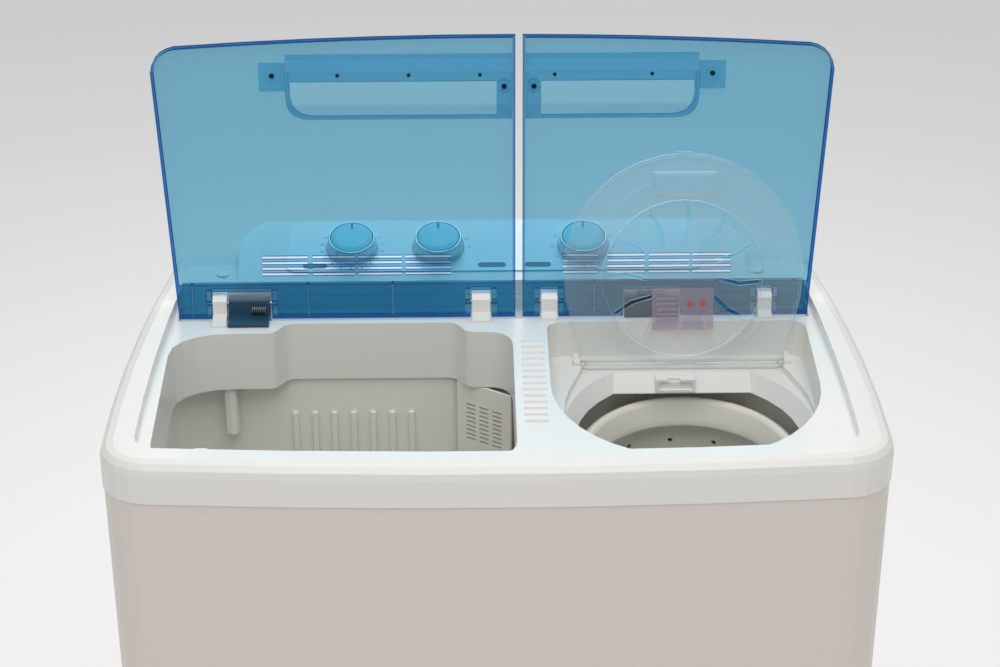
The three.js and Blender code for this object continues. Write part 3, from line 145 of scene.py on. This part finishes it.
def soften(piece, edge_mm):
    """Rounds a piece's corners by edge_mm and shades it smooth."""
    flat = piece.modifiers.new("joined_faces", "DECIMATE")
    flat.decimate_type = "DISSOLVE"
    flat.angle_limit = math.radians(0.2)
    if edge_mm:
        edge = piece.modifiers.new("rounded_edges", "BEVEL")
        edge.width = edge_mm / 1000
        edge.segments = 2
        edge.limit_method = "ANGLE"
        edge.angle_limit = SHARP_ANGLE
    shading = piece.modifiers.new("smooth_shading", "NODES")
    shading.node_group = smooth_shading
    normals = piece.modifiers.new("even_normals", "WEIGHTED_NORMAL")
    normals.keep_sharp = True


def dress(names, material, edge_mm=0.6):
    """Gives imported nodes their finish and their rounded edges."""
    for name in names:
        piece = frame["nodes"][name]
        piece.data.materials.clear()
        piece.data.materials.append(material)
        soften(piece, edge_mm)


# Talc-filled polypropylene, matt, a shade greyer than the cabinet.
plinth_plastic = surface("plinth_polypropylene", "CFCBC5", 0.5, grain_mm=1.2, grain=0.15)
# Black nitrile rubber, dusty from the floor.
foot_rubber = surface("foot_rubber", "1E1D1C", 0.82, cloud_mm=12, cloud=0.3, grain=0.3)

dress(["base_pan"], plinth_plastic, 1.2)
dress(["foot_front_left", "foot_front_right", "foot_rear_left", "foot_rear_right"], foot_rubber, 0.8)

# ------------------------------------------------------------------------------ cabinet and back cover
# One wrap of sheet closes the front and sides, enamelled warm white. The back has a pressed service
# cover, with cooling slots at the height of the motors, held by screws along its edges.

# Baked enamel over sheet: a satin coat with the faint orange peel of a sprayed finish.
cabinet_enamel = surface("cabinet_enamel", "E2DAD2", 0.34, cloud_mm=400, cloud=0.02, grain_mm=2.5, grain=0.05)

dress(["cabinet", "rear_cover"], cabinet_enamel, 0.8)

# Zinc-plated pan-head screws.
screw_zinc = surface("zinc_plate", "8F9294", 0.32, metallic=1.0, cloud_mm=3, cloud=0.2, grain_mm=0.3)


def rounded_profile(points, radius, steps=4):
    """A profile with each inner corner rounded by an arc-like curve of about that radius."""
    soft = [Vector(points[0])]
    for before, corner, after in zip(points, points[1:], points[2:]):
        before, corner, after = Vector(before), Vector(corner), Vector(after)
        into, out = before - corner, after - corner
        reach = min(radius, into.length / 2.2, out.length / 2.2)
        start, end = corner + into.normalized() * reach, corner + out.normalized() * reach
        for i in range(steps + 1):
            t = i / steps
            soft.append(start * (1 - t) ** 2 + corner * (2 * t * (1 - t)) + end * t**2)
    soft.append(Vector(points[-1]))
    return soft


def turned(name, profile_mm, material, place, body, nodes=(), sides=96, closed=False):
    """A profile of (radius, height) points turned about Z, then put in place by a matrix."""
    mesh = bpy.data.meshes.new(name)
    shape = bmesh.new()
    rings = []
    for radius, height in profile_mm:
        if radius < 1e-6:
            rings.append([shape.verts.new((0, 0, height / 1000))] * sides)
            continue
        ring = []
        for i in range(sides):
            a = 2 * math.pi * i / sides
            point = (radius * math.cos(a) / 1000, radius * math.sin(a) / 1000, height / 1000)
            ring.append(shape.verts.new(point))
        rings.append(ring)
    pairs = list(zip(rings, rings[1:])) + ([(rings[-1], rings[0])] if closed else [])
    for low, high in pairs:
        for i in range(sides):
            k = (i + 1) % sides
            corners = list(dict.fromkeys([low[i], low[k], high[k], high[i]]))
            if len(corners) > 2:
                shape.faces.new(corners)
    bmesh.ops.recalc_face_normals(shape, faces=shape.faces)
    shape.transform(place)
    for face in shape.faces:
        face.smooth = True
    shape.to_mesh(mesh)
    shape.free()
    return added(name, mesh, material, body, nodes)


def added(name, mesh, material, body, nodes=()):
    """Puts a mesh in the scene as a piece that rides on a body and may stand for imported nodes."""
    mesh.materials.append(material)
    piece = bpy.data.objects.new(name, mesh)
    bpy.context.scene.collection.objects.link(piece)
    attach(piece, body)
    if nodes:
        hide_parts(*nodes)
    return piece


def facing(point, direction):
    """A matrix that stands a turned piece at a point, given in millimetres, along a direction."""
    turn = Vector(direction).to_track_quat("Z", "Y").to_matrix().to_4x4()
    return Matrix.Translation(Vector(point) / 1000) @ turn


def screw(name, point, direction, body, radius=3.6, material=None):
    """A pan-head screw with a cross recess, seated at a point."""
    section = [(0, radius * 0.5), (radius * 0.8, radius * 0.42), (radius, 0), (0, 0)]
    head = rounded_profile(section, radius * 0.3)
    piece = turned(name, head, material or screw_zinc, Matrix.Identity(4), body, sides=24)
    for turn in (0, math.pi / 2):
        slot = bpy.data.meshes.new("recess")
        shape = bmesh.new()
        arm = Matrix.Diagonal((radius * 1.1e-3, radius * 0.22e-3, radius * 0.6e-3, 1))
        arm_place = Matrix.Rotation(turn, 4, "Z") @ arm @ Matrix.Translation((0, 0, 0.75))
        bmesh.ops.create_cube(shape, size=1, matrix=arm_place)
        shape.to_mesh(slot)
        shape.free()
        cutter = bpy.data.objects.new("recess", slot)
        bpy.context.scene.collection.objects.link(cutter)
        drive = piece.modifiers.new("recess", "BOOLEAN")
        drive.object = cutter
        drive.operation = "DIFFERENCE"
        bpy.context.view_layer.update()
        carved = bpy.data.meshes.new_from_object(piece.evaluated_get(bpy.context.evaluated_depsgraph_get()))
        piece.modifiers.clear()
        piece.data = carved
        bpy.data.objects.remove(cutter)
    piece.data.transform(facing(point, direction))
    return piece


COVER_SCREWS = 4
SCREW_INSET = 8
SCREW_END = 20
SCREW_SEAT = 1.5
cover_low, cover_high = (Vector(corner) * 1000 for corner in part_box("rear_cover"))
cover_face = cover_high.y - SCREW_SEAT
screw_run = cover_high.z - cover_low.z - 2 * SCREW_END
for side, x in (("left", cover_low.x + SCREW_INSET), ("right", cover_high.x - SCREW_INSET)):
    for level in range(COVER_SCREWS):
        z = cover_low.z + SCREW_END + level * screw_run / (COVER_SCREWS - 1)
        screw(f"cover_screw_{side}_{level + 1}", (x, cover_face, z), (0, 1, 0), "machine")

# ------------------------------------------------------------------------------ wash drive
# A motor on the pan drives the pulsator through a belt and two pulleys, under the wash tub. The shaft
# runs in a cast housing that is screwed to the tub's floor.

# Black-grey stoving paint over castings and laminations.
motor_paint = surface("motor_paint", "4B4E50", 0.5, cloud_mm=40, cloud=0.2, grain_mm=1.0, grain=0.3)
# Bright turned steel.
turned_steel = surface("turned_steel", "A9ABAD", 0.28, metallic=1.0, cloud_mm=5, cloud=0.15, grain_mm=0.3)
# Moulded neoprene of the belt, seal and motor mounts.
black_rubber = surface("moulded_rubber", "1B1B1B", 0.7, cloud_mm=15, cloud=0.2, grain=0.3)

dress(["wash_motor", "driven_pulley", "pulsator_bearing_housing"], motor_paint, 1.0)
dress(["motor_pulley", "pulsator_shaft"], turned_steel, 0.4)
dress(["drive_belt"], black_rubber, 0.4)

# ------------------------------------------------------------------------------ wash tub
# A deep tub of off-white polypropylene with scrubbing ribs on its back wall. The pulsator turns in its
# floor, a slotted cover closes the overflow, and a moulded pipe brings the water in.

# Polypropylene copolymer, smooth from a polished mould, slightly warm.
tub_plastic = surface("tub_polypropylene", "F1EEE5", 0.3, cloud_mm=150, cloud=0.05)
# Whiter, glossier grade of the pieces that are touched.
bright_plastic = surface("white_abs", "F3F2EE", 0.22, cloud_mm=200, cloud=0.02)

dress(["wash_tub"], tub_plastic, 1.6)
dress(["overflow_filter"], tub_plastic, 0.3)
dress(["water_inlet_pipe"], tub_plastic, 0.4)
dress(["pulsator"], bright_plastic, 2.0)

# ------------------------------------------------------------------------------ dryer
# The basket spins on a steel shaft inside its own round tub. A hollow ring, filled with brine, closes the
# basket's mouth and balances it. Its wall is moulded with rows of drain holes.


def packed_joint(name):
    """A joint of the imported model, by its name."""
    return next(joint for joint in frame["joints"] if joint["name"] == name)


spin_axis = Matrix.Translation((*packed_joint("basket_spin")["pos_m"][:2], 0))
BASKET_RADIUS = 128
BASKET_FLOOR = 440
BASKET_TOP = 745.6
HOLE_ROWS = 5
CELLS_AROUND = 48
CELLS_PER_HOLE = 3
HOLE_RADIUS = 2.8
WALL_THICKNESS = 2
RING_PROFILE = [(116, 746), (128, 746), (128, 761), (124, 771), (118, 778), (113, 780), (109, 776)]
RING_PROFILE += [(104, 754), (104, 746), (116, 746)]
FLOOR_PROFILE = [(9.6, 420), (26, 420), (30, 432), (120, 432), (127.6, 440), (125.4, 440), (118, 434.4)]
FLOOR_PROFILE += [(44, 434.4), (22, 458), (9.6, 460), (9.6, 420)]
PROFILE_ROUND = 4

dress(["spin_tub"], tub_plastic, 1.0)
dress(["spin_motor", "brake_drum"], motor_paint, 1.0)
dress(["spin_shaft", "brake_lever"], turned_steel, 0.4)
dress(["spin_shaft_seal"] + [f"spin_motor_mount_{i}" for i in (1, 2, 3)], black_rubber, 0.5)

turned(
    "balance_ring_moulding",
    rounded_profile(RING_PROFILE, PROFILE_ROUND),
    tub_plastic,
    spin_axis,
    "spin_rotor",
    nodes=["balance_ring"],
    sides=128,
)


def perforated_wall(name, radius, low, high, rows, columns, hole, thick):
    """A drum's wall: cells of faces on the outside and the inside, some of them around a drain hole."""
    shape = bmesh.new()
    step = (high - low) / rows
    for row in range(rows):
        for column in range(columns):
            middle = 2 * math.pi * (column + 0.5) / columns
            half = math.pi / columns
            level = low + (row + 0.5) * step
            loops = []
            for r in (radius, radius - thick):
                inner, outer = [], []
                for i in range(8):
                    a = math.pi * i / 4
                    c, s = math.cos(a), math.sin(a)
                    reach = 1 / max(abs(c), abs(s))
                    at_hole = (inner, hole / radius * c, hole * s)
                    at_edge = (outer, half * reach * c, step / 2 * reach * s)
                    for ring, across, up in (at_hole, at_edge):
                        turn = middle + across
                        point = (r * math.cos(turn) / 1000, r * math.sin(turn) / 1000, (level + up) / 1000)
                        ring.append(shape.verts.new(point))
                loops.append((inner, outer))
            (hole_out, edge_out), (hole_in, edge_in) = loops
            drilled = column % CELLS_PER_HOLE == row % 2
            if not drilled:
                shape.faces.new(edge_out)
                shape.faces.new(edge_in[::-1])
                bmesh.ops.delete(shape, geom=hole_out + hole_in, context="VERTS")
            for i in range(8):
                k = (i + 1) % 8
                if drilled:
                    shape.faces.new((hole_out[i], edge_out[i], edge_out[k], hole_out[k]))
                    shape.faces.new((hole_in[k], edge_in[k], edge_in[i], hole_in[i]))
                    shape.faces.new((hole_out[k], hole_in[k], hole_in[i], hole_out[i]))
                if (row == 0 and i in (5, 6)) or (row == rows - 1 and i in (1, 2)):
                    shape.faces.new((edge_out[i], edge_in[i], edge_in[k], edge_out[k]))
    bmesh.ops.remove_doubles(shape, verts=shape.verts, dist=1e-5)
    bmesh.ops.recalc_face_normals(shape, faces=shape.faces)
    shape.transform(spin_axis)
    mesh = bpy.data.meshes.new(name)
    shape.to_mesh(mesh)
    shape.free()
    return mesh


added(
    "spin_basket_wall",
    perforated_wall(
        "spin_basket_wall",
        BASKET_RADIUS,
        BASKET_FLOOR,
        BASKET_TOP,
        HOLE_ROWS,
        CELLS_AROUND,
        HOLE_RADIUS,
        WALL_THICKNESS,
    ),
    tub_plastic,
    "spin_rotor",
    nodes=["spin_basket"],
)
turned(
    "spin_basket_floor",
    rounded_profile(FLOOR_PROFILE, PROFILE_ROUND),
    tub_plastic,
    spin_axis,
    "spin_rotor",
    nodes=["spin_basket"],
)

# ------------------------------------------------------------------------------ drain and electrics
# A valve under the wash tub lets the water out when the selector lifts its plunger. The dryer's drain
# joins it, and one hose leads both to the back. A capacitor and the cord's gland sit low at the rear.

# Grey polypropylene of valves and timer cases.
grey_plastic = surface("grey_polypropylene", "8C8F91", 0.45, grain_mm=1.0, grain=0.1)
# Ribbed PVC drain hose, pale grey.
hose_pvc = surface("hose_pvc", "9A9C9B", 0.4, cloud_mm=20, cloud=0.1)
# Black phenolic of the capacitor and the gland.
black_plastic = surface("black_phenolic", "232324", 0.38, grain=0.1)

dress(["drain_valve_body"], grey_plastic, 0.8)
dress(["drain_plunger"], black_rubber, 0.5)
dress(["drain_hose", "spin_drain_hose"], hose_pvc, 0)
dress(["capacitor", "cord_gland"], black_plastic, 0.5)

# ------------------------------------------------------------------------------ top deck
# One large injection moulding in glossy white ABS: the rim with its skirt, the sunk floor, the collar
# of the wash opening, the dryer's well, the hinge gutter with its posts, and the scrubbing ridges.

# ABS from a polished mould, faintly warm, with a soft mirror.
deck_plastic = surface("deck_abs", "EBE9E4", 0.24, cloud_mm=250, cloud=0.02, grain_mm=1.5, grain=0.02)

dress(["top_deck"], deck_plastic, 1.0)
dress(["inner_lid_latch"], bright_plastic, 0.4)

# The damper and the lid switch: dark blue acetal blocks in the gutter. A wound spring shows on the damper.
navy_acetal = surface("navy_acetal", "1C4258", 0.4, cloud_mm=20, cloud=0.1)
dress(["wash_lid_damper", "spin_lid_switch"], navy_acetal, 0.8)


COIL_SIZES = {"Coil radius": 0.0046, "Wire radius": 0.0008, "Length": 0.016, "Turns": 7.0}
COIL_OFFSET = Vector((-0.019, -0.0102, -0.0023))


def coil_mesh(name, sizes):
    """A spring wound along Z, made as a swept path and kept as a plain mesh."""
    group = bpy.data.node_groups.new(name, "GeometryNodeTree")
    for title in sizes:
        group.interface.new_socket(name=title, in_out="INPUT", socket_type="NodeSocketFloat")
    group.interface.new_socket(name="Geometry", in_out="OUTPUT", socket_type="NodeSocketGeometry")
    given = node(group, "NodeGroupInput").outputs
    path = node(
        group,
        "GeometryNodeCurveSpiral",
        {
            "Resolution": 24,
            "Rotations": given[3],
            "Start Radius": given[0],
            "End Radius": given[0],
            "Height": given[2],
        },
    )
    section = node(group, "GeometryNodeCurvePrimitiveCircle", {"Resolution": 12, "Radius": given[1]})
    swept = node(
        group,
        "GeometryNodeCurveToMesh",
        {0: path.outputs[0], "Profile Curve": section.outputs[0], "Fill Caps": True},
    )
    real = node(group, "GeometryNodeRealizeInstances", {0: swept.outputs[0]})
    painted = node(group, "GeometryNodeSetMaterial", {0: real.outputs[0], "Material": screw_zinc})
    node(group, "NodeGroupOutput", {0: painted.outputs[0]})
    maker = bpy.data.objects.new(name, bpy.data.meshes.new(name))
    bpy.context.scene.collection.objects.link(maker)
    step = maker.modifiers.new("coil", "NODES")
    step.node_group = group
    for socket in group.interface.items_tree:
        if socket.in_out == "INPUT":
            step[socket.identifier] = sizes[socket.name]
    bpy.context.view_layer.update()
    mesh = bpy.data.meshes.new_from_object(maker.evaluated_get(bpy.context.evaluated_depsgraph_get()))
    bpy.data.objects.remove(maker)
    mesh.materials.clear()
    return mesh


damper_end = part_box("wash_lid_damper")[1][0]
hinge_y, hinge_z = packed_joint("wash_lid_hinge")["pos_m"][1:]
coil_place = Vector((damper_end, hinge_y, hinge_z)) + COIL_OFFSET
damper_coil = coil_mesh("damper_spring", COIL_SIZES)
damper_coil.transform(Matrix.Translation(coil_place) @ Matrix.Rotation(math.pi / 2, 4, "Y"))
added("damper_spring", damper_coil, screw_zinc, "machine")

# ------------------------------------------------------------------------------ console
# A separate moulding clipped over the back of the deck, with a sloping face. The printed fascia is
# welded on, three knobs push onto the shafts of the timers and the selector, and caps hide two screws.

dress(["console_housing"], deck_plastic, 2.4)
dress(["screw_cap_left", "screw_cap_right"], bright_plastic, 0.4)
dress(["wash_timer", "selector_switch", "spin_timer"], grey_plastic, 0.8)

# Screen-printed acrylic of the fascia, pale silver grey.
fascia_print = surface("fascia_print", "EEF2F3", 0.2, cloud_mm=200, cloud=0.02, grain=0.02)
dress(["control_fascia"], fascia_print, 0.4)

# Vacuum-metallised ABS of the knobs, lacquered.
knob_silver = surface("metallised_abs", "E2E6E8", 0.2, metallic=0.55, cloud_mm=30, cloud=0.03, grain=0.02)
# Pale aqua ABS of the knobs' caps, satin.
cap_aqua = surface("cap_abs_aqua", "93DDE6", 0.32, cloud_mm=30, cloud=0.03, grain=0.02)
# Grey-blue screen ink.
print_ink = surface("screen_ink", "4C6E80", 0.45)

KNOB_LIFT = 1.9
KNOB_PROFILE = [(0, -14), (3, -14), (3, 0.2), (7, 0.2), (7, 9), (23, 9), (26, 0.6), (30, 0.6)]
KNOB_PROFILE += [(29.6, 2.2), (27.6, 5), (26.9, 14), (26.2, 16.2), (24.6, 16.2), (24.2, 14.4), (0, 14.4)]
CAP_PROFILE = [(0, 14.8), (23.7, 14.8), (23.6, 16.2), (18, 17.3), (0, 17.8)]
DIAL_RADIUS = 35
POINTER_REACH = 17
POINTER_LIFT = 17.1
PRINT_LIFT = 1.65
INK_THICKNESS = 0.12
PILL_DROP = 30
PILL_HEIGHT = 8


def flat_patch(name, outline_mm, thick_mm, material, place, body):
    """A thin printed patch: an outline in the XY plane, thickened and put in place by a matrix."""
    shape = bmesh.new()
    bottom = [shape.verts.new((x / 1000, y / 1000, 0)) for x, y in outline_mm]
    top = [shape.verts.new((x / 1000, y / 1000, thick_mm / 1000)) for x, y in outline_mm]
    shape.faces.new(bottom[::-1])
    shape.faces.new(top)
    for i in range(len(bottom)):
        k = (i + 1) % len(bottom)
        shape.faces.new((bottom[i], bottom[k], top[k], top[i]))
    shape.transform(place)
    mesh = bpy.data.meshes.new(name)
    shape.to_mesh(mesh)
    shape.free()
    return added(name, mesh, material, body)


def pill(width, height, steps=8):
    """The outline of a bar with round ends."""
    r = height / 2
    ends = []
    for centre, start in ((width / 2 - r, -math.pi / 2), (r - width / 2, math.pi / 2)):
        for i in range(steps + 1):
            a = start + math.pi * i / steps
            ends.append((centre + r * math.cos(a), r * math.sin(a)))
    return ends


def rectangle(width, height):
    """The outline of a square-ended bar."""
    across, up = width / 2, height / 2
    return [(-across, -up), (across, -up), (across, up), (-across, up)]


# Each control with the steps of its scale and the degrees that the scale spans.
controls = {"wash_timer": (15, 300), "selector": (4, 90), "spin_timer": (10, 300)}
for control, (marks, span) in controls.items():
    shaft = packed_joint(control + "_turn")
    seat = Vector(shaft["pos_m"]) * 1000
    outward = -Vector(shaft["axis"])
    stand = facing(seat + outward * KNOB_LIFT, outward)
    rider = control + "_control"
    turned(
        control + "_knob_moulding",
        rounded_profile(KNOB_PROFILE, 0.9),
        knob_silver,
        stand,
        rider,
        nodes=[control + "_knob"],
    )
    turned(
        control + "_cap_moulding",
        rounded_profile(CAP_PROFILE, 0.8),
        cap_aqua,
        stand,
        rider,
        nodes=[control + "_knob_cap"],
    )
    pointer = stand @ Matrix.Translation((0, POINTER_REACH / 1000, POINTER_LIFT / 1000))
    flat_patch(control + "_pointer", rectangle(2.4, 10), 0.4, print_ink, pointer, rider)
    face = facing(seat + outward * PRINT_LIFT, outward)
    sweep = math.radians(span)
    for i in range(marks + 1):
        turn = Matrix.Rotation(-sweep * i / marks, 4, "Z") @ Matrix.Translation((0, DIAL_RADIUS / 1000, 0))
        mark = rectangle(1, 4)
        flat_patch(f"{control}_mark_{i}", mark, INK_THICKNESS, print_ink, face @ turn, "machine")

# Printed pills under the dials, without lettering.
selector_shaft = packed_joint("selector_turn")
slope_normal = -Vector(selector_shaft["axis"])
slope_seat = Vector(selector_shaft["pos_m"]) * 1000
up_slope = Vector((0, slope_normal.z, -slope_normal.y))
for name, x, width in (("left", -201, 28), ("middle", -1, 32), ("right", 51, 30)):
    spot = slope_seat + slope_normal * PRINT_LIFT - up_slope * PILL_DROP
    spot.x = x
    place = facing(spot, slope_normal)
    flat_patch(f"fascia_pill_{name}", pill(width, PILL_HEIGHT), INK_THICKNESS, print_ink, place, "machine")

# ------------------------------------------------------------------------------ outer lids
# Two lids of clear blue styrene-acrylonitrile, each a shallow tray with a double-skinned strip along the
# hinge. A scooped grip is screwed inside the free edge, and steel pins hold the lids to the deck's posts.


def tinted(name, face, tint, edge_tint, body_colour, share, wall_share, roughness):
    """Coloured clear plastic. Light passes through tinted, deeper at the walls that stand across the
    sheet, whose normal is face. A share of it meets the plastic itself, and another share at the walls."""
    material = bpy.data.materials.new(name)
    material.use_nodes = True
    tree = material.node_tree
    tree.nodes.clear()
    coordinates = node(tree, "ShaderNodeTexCoord").outputs
    flow = node(tree, "ShaderNodeTexNoise", {"Vector": coordinates["Object"], "Scale": 9.0, "Detail": 2.0})
    ripple = node(
        tree,
        "ShaderNodeBump",
        {"Height": flow.outputs["Fac"], "Strength": 0.03, "Distance": 0.002},
    )
    along = node(tree, "ShaderNodeVectorMath", {0: coordinates["Normal"], 1: face}, operation="DOT_PRODUCT")
    flatness = node(tree, "ShaderNodeMath", {0: along.outputs["Value"]}, operation="ABSOLUTE")
    wall = node(
        tree,
        "ShaderNodeMapRange",
        {"Value": flatness.outputs[0], "From Min": 0.95, "From Max": 0.55, "To Min": 0.0, "To Max": 1.0},
    )
    colour = node(
        tree, "ShaderNodeMix", {0: wall.outputs[0], 6: linear(tint), 7: linear(edge_tint)}, data_type="RGBA"
    )
    through = node(tree, "ShaderNodeBsdfTransparent", {"Color": colour.outputs[2]})
    plastic = node(
        tree,
        "ShaderNodeBsdfPrincipled",
        {"Base Color": linear(body_colour), "Roughness": roughness, "Normal": ripple.outputs["Normal"]},
    )
    body_share = node(
        tree,
        "ShaderNodeMath",
        {0: wall.outputs[0], 1: wall_share - share, 2: share},
        operation="MULTIPLY_ADD",
    )
    mixed = node(
        tree, "ShaderNodeMixShader", {0: body_share.outputs[0], 1: through.outputs[0], 2: plastic.outputs[0]}
    )
    node(tree, "ShaderNodeOutputMaterial", {"Surface": mixed.outputs[0]})
    return material


LID_LEAN = math.radians(8)
lid_inward = (0, -math.cos(LID_LEAN), math.sin(LID_LEAN))

# Blue transparent styrene-acrylonitrile, deep blue where it is seen along the sheet.
lid_blue = tinted("blue_clear_san", lid_inward, "C3E6F2", "2C66BC", "5FBEE2", 0.12, 0.1, 0.08)
# The same plastic of the grips, a little cloudier from the mould's texture.
grip_blue = tinted("blue_clear_san_textured", lid_inward, "CBEBF6", "9AD2EA", "7FCBE6", 0.16, 0.4, 0.14)

dress(["wash_lid", "spin_lid"], lid_blue, 0.5)
dress(["wash_lid_handle", "spin_lid_handle"], grip_blue, 0.8)
for lid in ("wash_lid", "spin_lid"):
    dress([f"{lid}_pin_left", f"{lid}_pin_right"], turned_steel, 0.4)

# Blackened self-tapping screws of the grips.
screw_black = surface("blackened_screw", "2B3034", 0.35, metallic=0.9)
# The hinge line, up from the lid's edge and in from its outer face.
LID_EDGE = 16.3
LID_FACE = 6
# Each kind of screw: up from the lid's edge, and in from its outer face.
OUTER_SCREW = (277, 5.2)
INNER_SCREW = (266, 13.2)
ROW_SCREW = (280.5, 18.1)
LARGE_HEAD = 3.0
SMALL_HEAD = 2.2


def on_lid(x, s, t):
    """A point of an open lid: across, up from its hinge edge, and in from its outer face."""
    up, inward = s - LID_EDGE, t - LID_FACE
    y = hinge_y * 1000 + up * math.sin(LID_LEAN) - inward * math.cos(LID_LEAN)
    z = hinge_z * 1000 + up * math.cos(LID_LEAN) + inward * math.sin(LID_LEAN)
    return (x, y, z)


# Where they are across: the outer one, the inner one, and the row of small ones between them.
grip_screws = {"wash_lid": (-237, 12, (-166, -90, -14)), "spin_lid": (236, 44, (66, 170))}
for lid, (outer_x, inner_x, row_x) in grip_screws.items():
    places = [(outer_x, *OUTER_SCREW), (inner_x, *INNER_SCREW)] + [(x, *ROW_SCREW) for x in row_x]
    for i, place in enumerate(places):
        size = LARGE_HEAD if i < 2 else SMALL_HEAD
        screw(f"{lid}_screw_{i + 1}", on_lid(*place), lid_inward, lid + "_assembly", size, screw_black)

# ------------------------------------------------------------------------------ inner lid
# A clear lid over the spinning basket, one moulding with a rib around its edge, curved air slots, a
# finger pocket and a hinge barrel. A small printed label carries plain bars and discs only.

INNER_LEAN = math.radians(15)
inner_face = (0, -math.cos(INNER_LEAN), math.sin(INNER_LEAN))
# Crystal polystyrene. Its pale lines where a wall stands across the sheet are painted highlights: a large
# share of white body colour on those walls stands in for the light that they reflect.
clear_styrene_with_painted_highlights = tinted("clear_styrene_with_painted_highlights", inner_face, "FBFDFD", "F0F5F6", "FFFFFF", 0.07, 0.6, 0.06)
dress(["inner_lid"], clear_styrene_with_painted_highlights, 0.5)

inner_hinge = Vector(packed_joint("inner_lid_hinge")["pos_m"]) * 1000


def on_inner_lid(across, s, t):
    """A point of the raised inner lid: across from its middle, up from its hinge, in from mid-sheet."""
    y = inner_hinge.y + s * math.sin(INNER_LEAN) - t * math.cos(INNER_LEAN)
    z = inner_hinge.z + s * math.cos(INNER_LEAN) + t * math.sin(INNER_LEAN)
    return Vector((inner_hinge.x + across, y, z))


# The label, printed on clear film: a column of plain grey bars and two red discs, without lettering.
label_film = tinted("label_film", inner_face, "F4EEF4", "F4EEF4", "EFE9EF", 0.16, 0.16, 0.4)
label_red = surface("label_ink_red", "C4574F", 0.45)
label_grey = surface("label_ink_grey", "A59AB0", 0.45)
LABEL_UP = 62
LABEL_DEPTH = 1.3
LABEL_PRINT = 0.1
LABEL_LIFT = 0.14
LABEL_LINES = 5
LINE_PITCH = 6
DISC_RADIUS = 3.6


def on_label(x, y, lift):
    """A place on the label, from its middle, as a matrix."""
    spot = on_inner_lid(x, LABEL_UP + y, LABEL_DEPTH + lift)
    return facing(spot, inner_face)


flat_patch("label_film", rectangle(68, 48), INK_THICKNESS, label_film, on_label(0, 2, 0), "inner_lid_body")
for row in range(LABEL_LINES):
    place = on_label(-17, 14 - row * LINE_PITCH, LABEL_LIFT)
    flat_patch(f"label_line_{row + 1}", rectangle(24, 1.4), LABEL_PRINT, label_grey, place, "inner_lid_body")
for i, x in enumerate((8, 22)):
    angles = [a * math.pi / 12 for a in range(24)]
    disc = [(DISC_RADIUS * math.cos(a), DISC_RADIUS * math.sin(a)) for a in angles]
    place = on_label(x, 8, LABEL_LIFT)
    flat_patch(f"label_sign_{i + 1}", disc, LABEL_PRINT, label_red, place, "inner_lid_body")

# ------------------------------------------------------------------------------ stage
# A pale, faintly glowing floor under a soft sky. A broad key stands on the left, a weaker fill on the
# right, a strong light above the deck and one behind the lids. The camera looks down from the front.

floor_mesh = bpy.data.meshes.new("floor")
floor_mesh.from_pydata([(-15, -10, 0), (15, -10, 0), (15, 25, 0), (-15, 25, 0)], [], [(0, 1, 2, 3)])
floor = bpy.data.objects.new("floor", floor_mesh)
bpy.context.scene.collection.objects.link(floor)
floor_paint = bpy.data.materials.new("floor_paint")
floor_paint.use_nodes = True
floor_shader = floor_paint.node_tree.nodes["Principled BSDF"]
floor_shader.inputs["Base Color"].default_value = (0.88, 0.88, 0.88, 1)
floor_shader.inputs["Emission Color"].default_value = (1, 1, 1, 1)
floor_shader.inputs["Emission Strength"].default_value = 0.2
floor_shader.inputs["Roughness"].default_value = 0.9
floor_mesh.materials.append(floor_paint)

world = bpy.data.worlds.new("studio")
bpy.context.scene.world = world
world.use_nodes = True
world.node_tree.nodes["Background"].inputs["Color"].default_value = (1, 1, 1, 1)
world.node_tree.nodes["Background"].inputs["Strength"].default_value = 0.38


def softbox(name, point, target, size, power):
    """A square studio light aimed at a point."""
    lamp = bpy.data.lights.new(name, "AREA")
    lamp.size = size
    lamp.energy = power
    light = bpy.data.objects.new(name, lamp)
    light.location = point
    light.rotation_euler = (Vector(target) - Vector(point)).to_track_quat("-Z", "Y").to_euler()
    light.visible_camera = False
    bpy.context.scene.collection.objects.link(light)


softbox("key", (-1.9, -2.2, 3.0), (0, 0, 0.8), 2.2, 8)
softbox("fill", (2.6, -1.6, 2.4), (0, 0, 0.8), 2.4, 2)
softbox("top", (0.1, -1.1, 3.2), (0, -0.1, 0.8), 1.8, 32)
softbox("back", (0, 1.0, 2.0), (0, 0.2, 0.95), 1.2, 13)

FOCAL_LENGTH_MM = 87.20028
PITCH = math.radians(30.072)
YAW = math.radians(0.977)
lens = bpy.data.cameras.new("camera")
lens.sensor_width = 36
lens.lens = FOCAL_LENGTH_MM
camera = bpy.data.objects.new("camera", lens)
camera.location = (-0.033, -2.2582, 2.1986)
gaze = Vector((math.sin(YAW) * math.cos(PITCH), math.cos(YAW) * math.cos(PITCH), -math.sin(PITCH)))
camera.rotation_euler = gaze.to_track_quat("-Z", "Y").to_euler()
bpy.context.scene.collection.objects.link(camera)
bpy.context.scene.camera = camera
bpy.context.scene.view_settings.view_transform = "Standard"
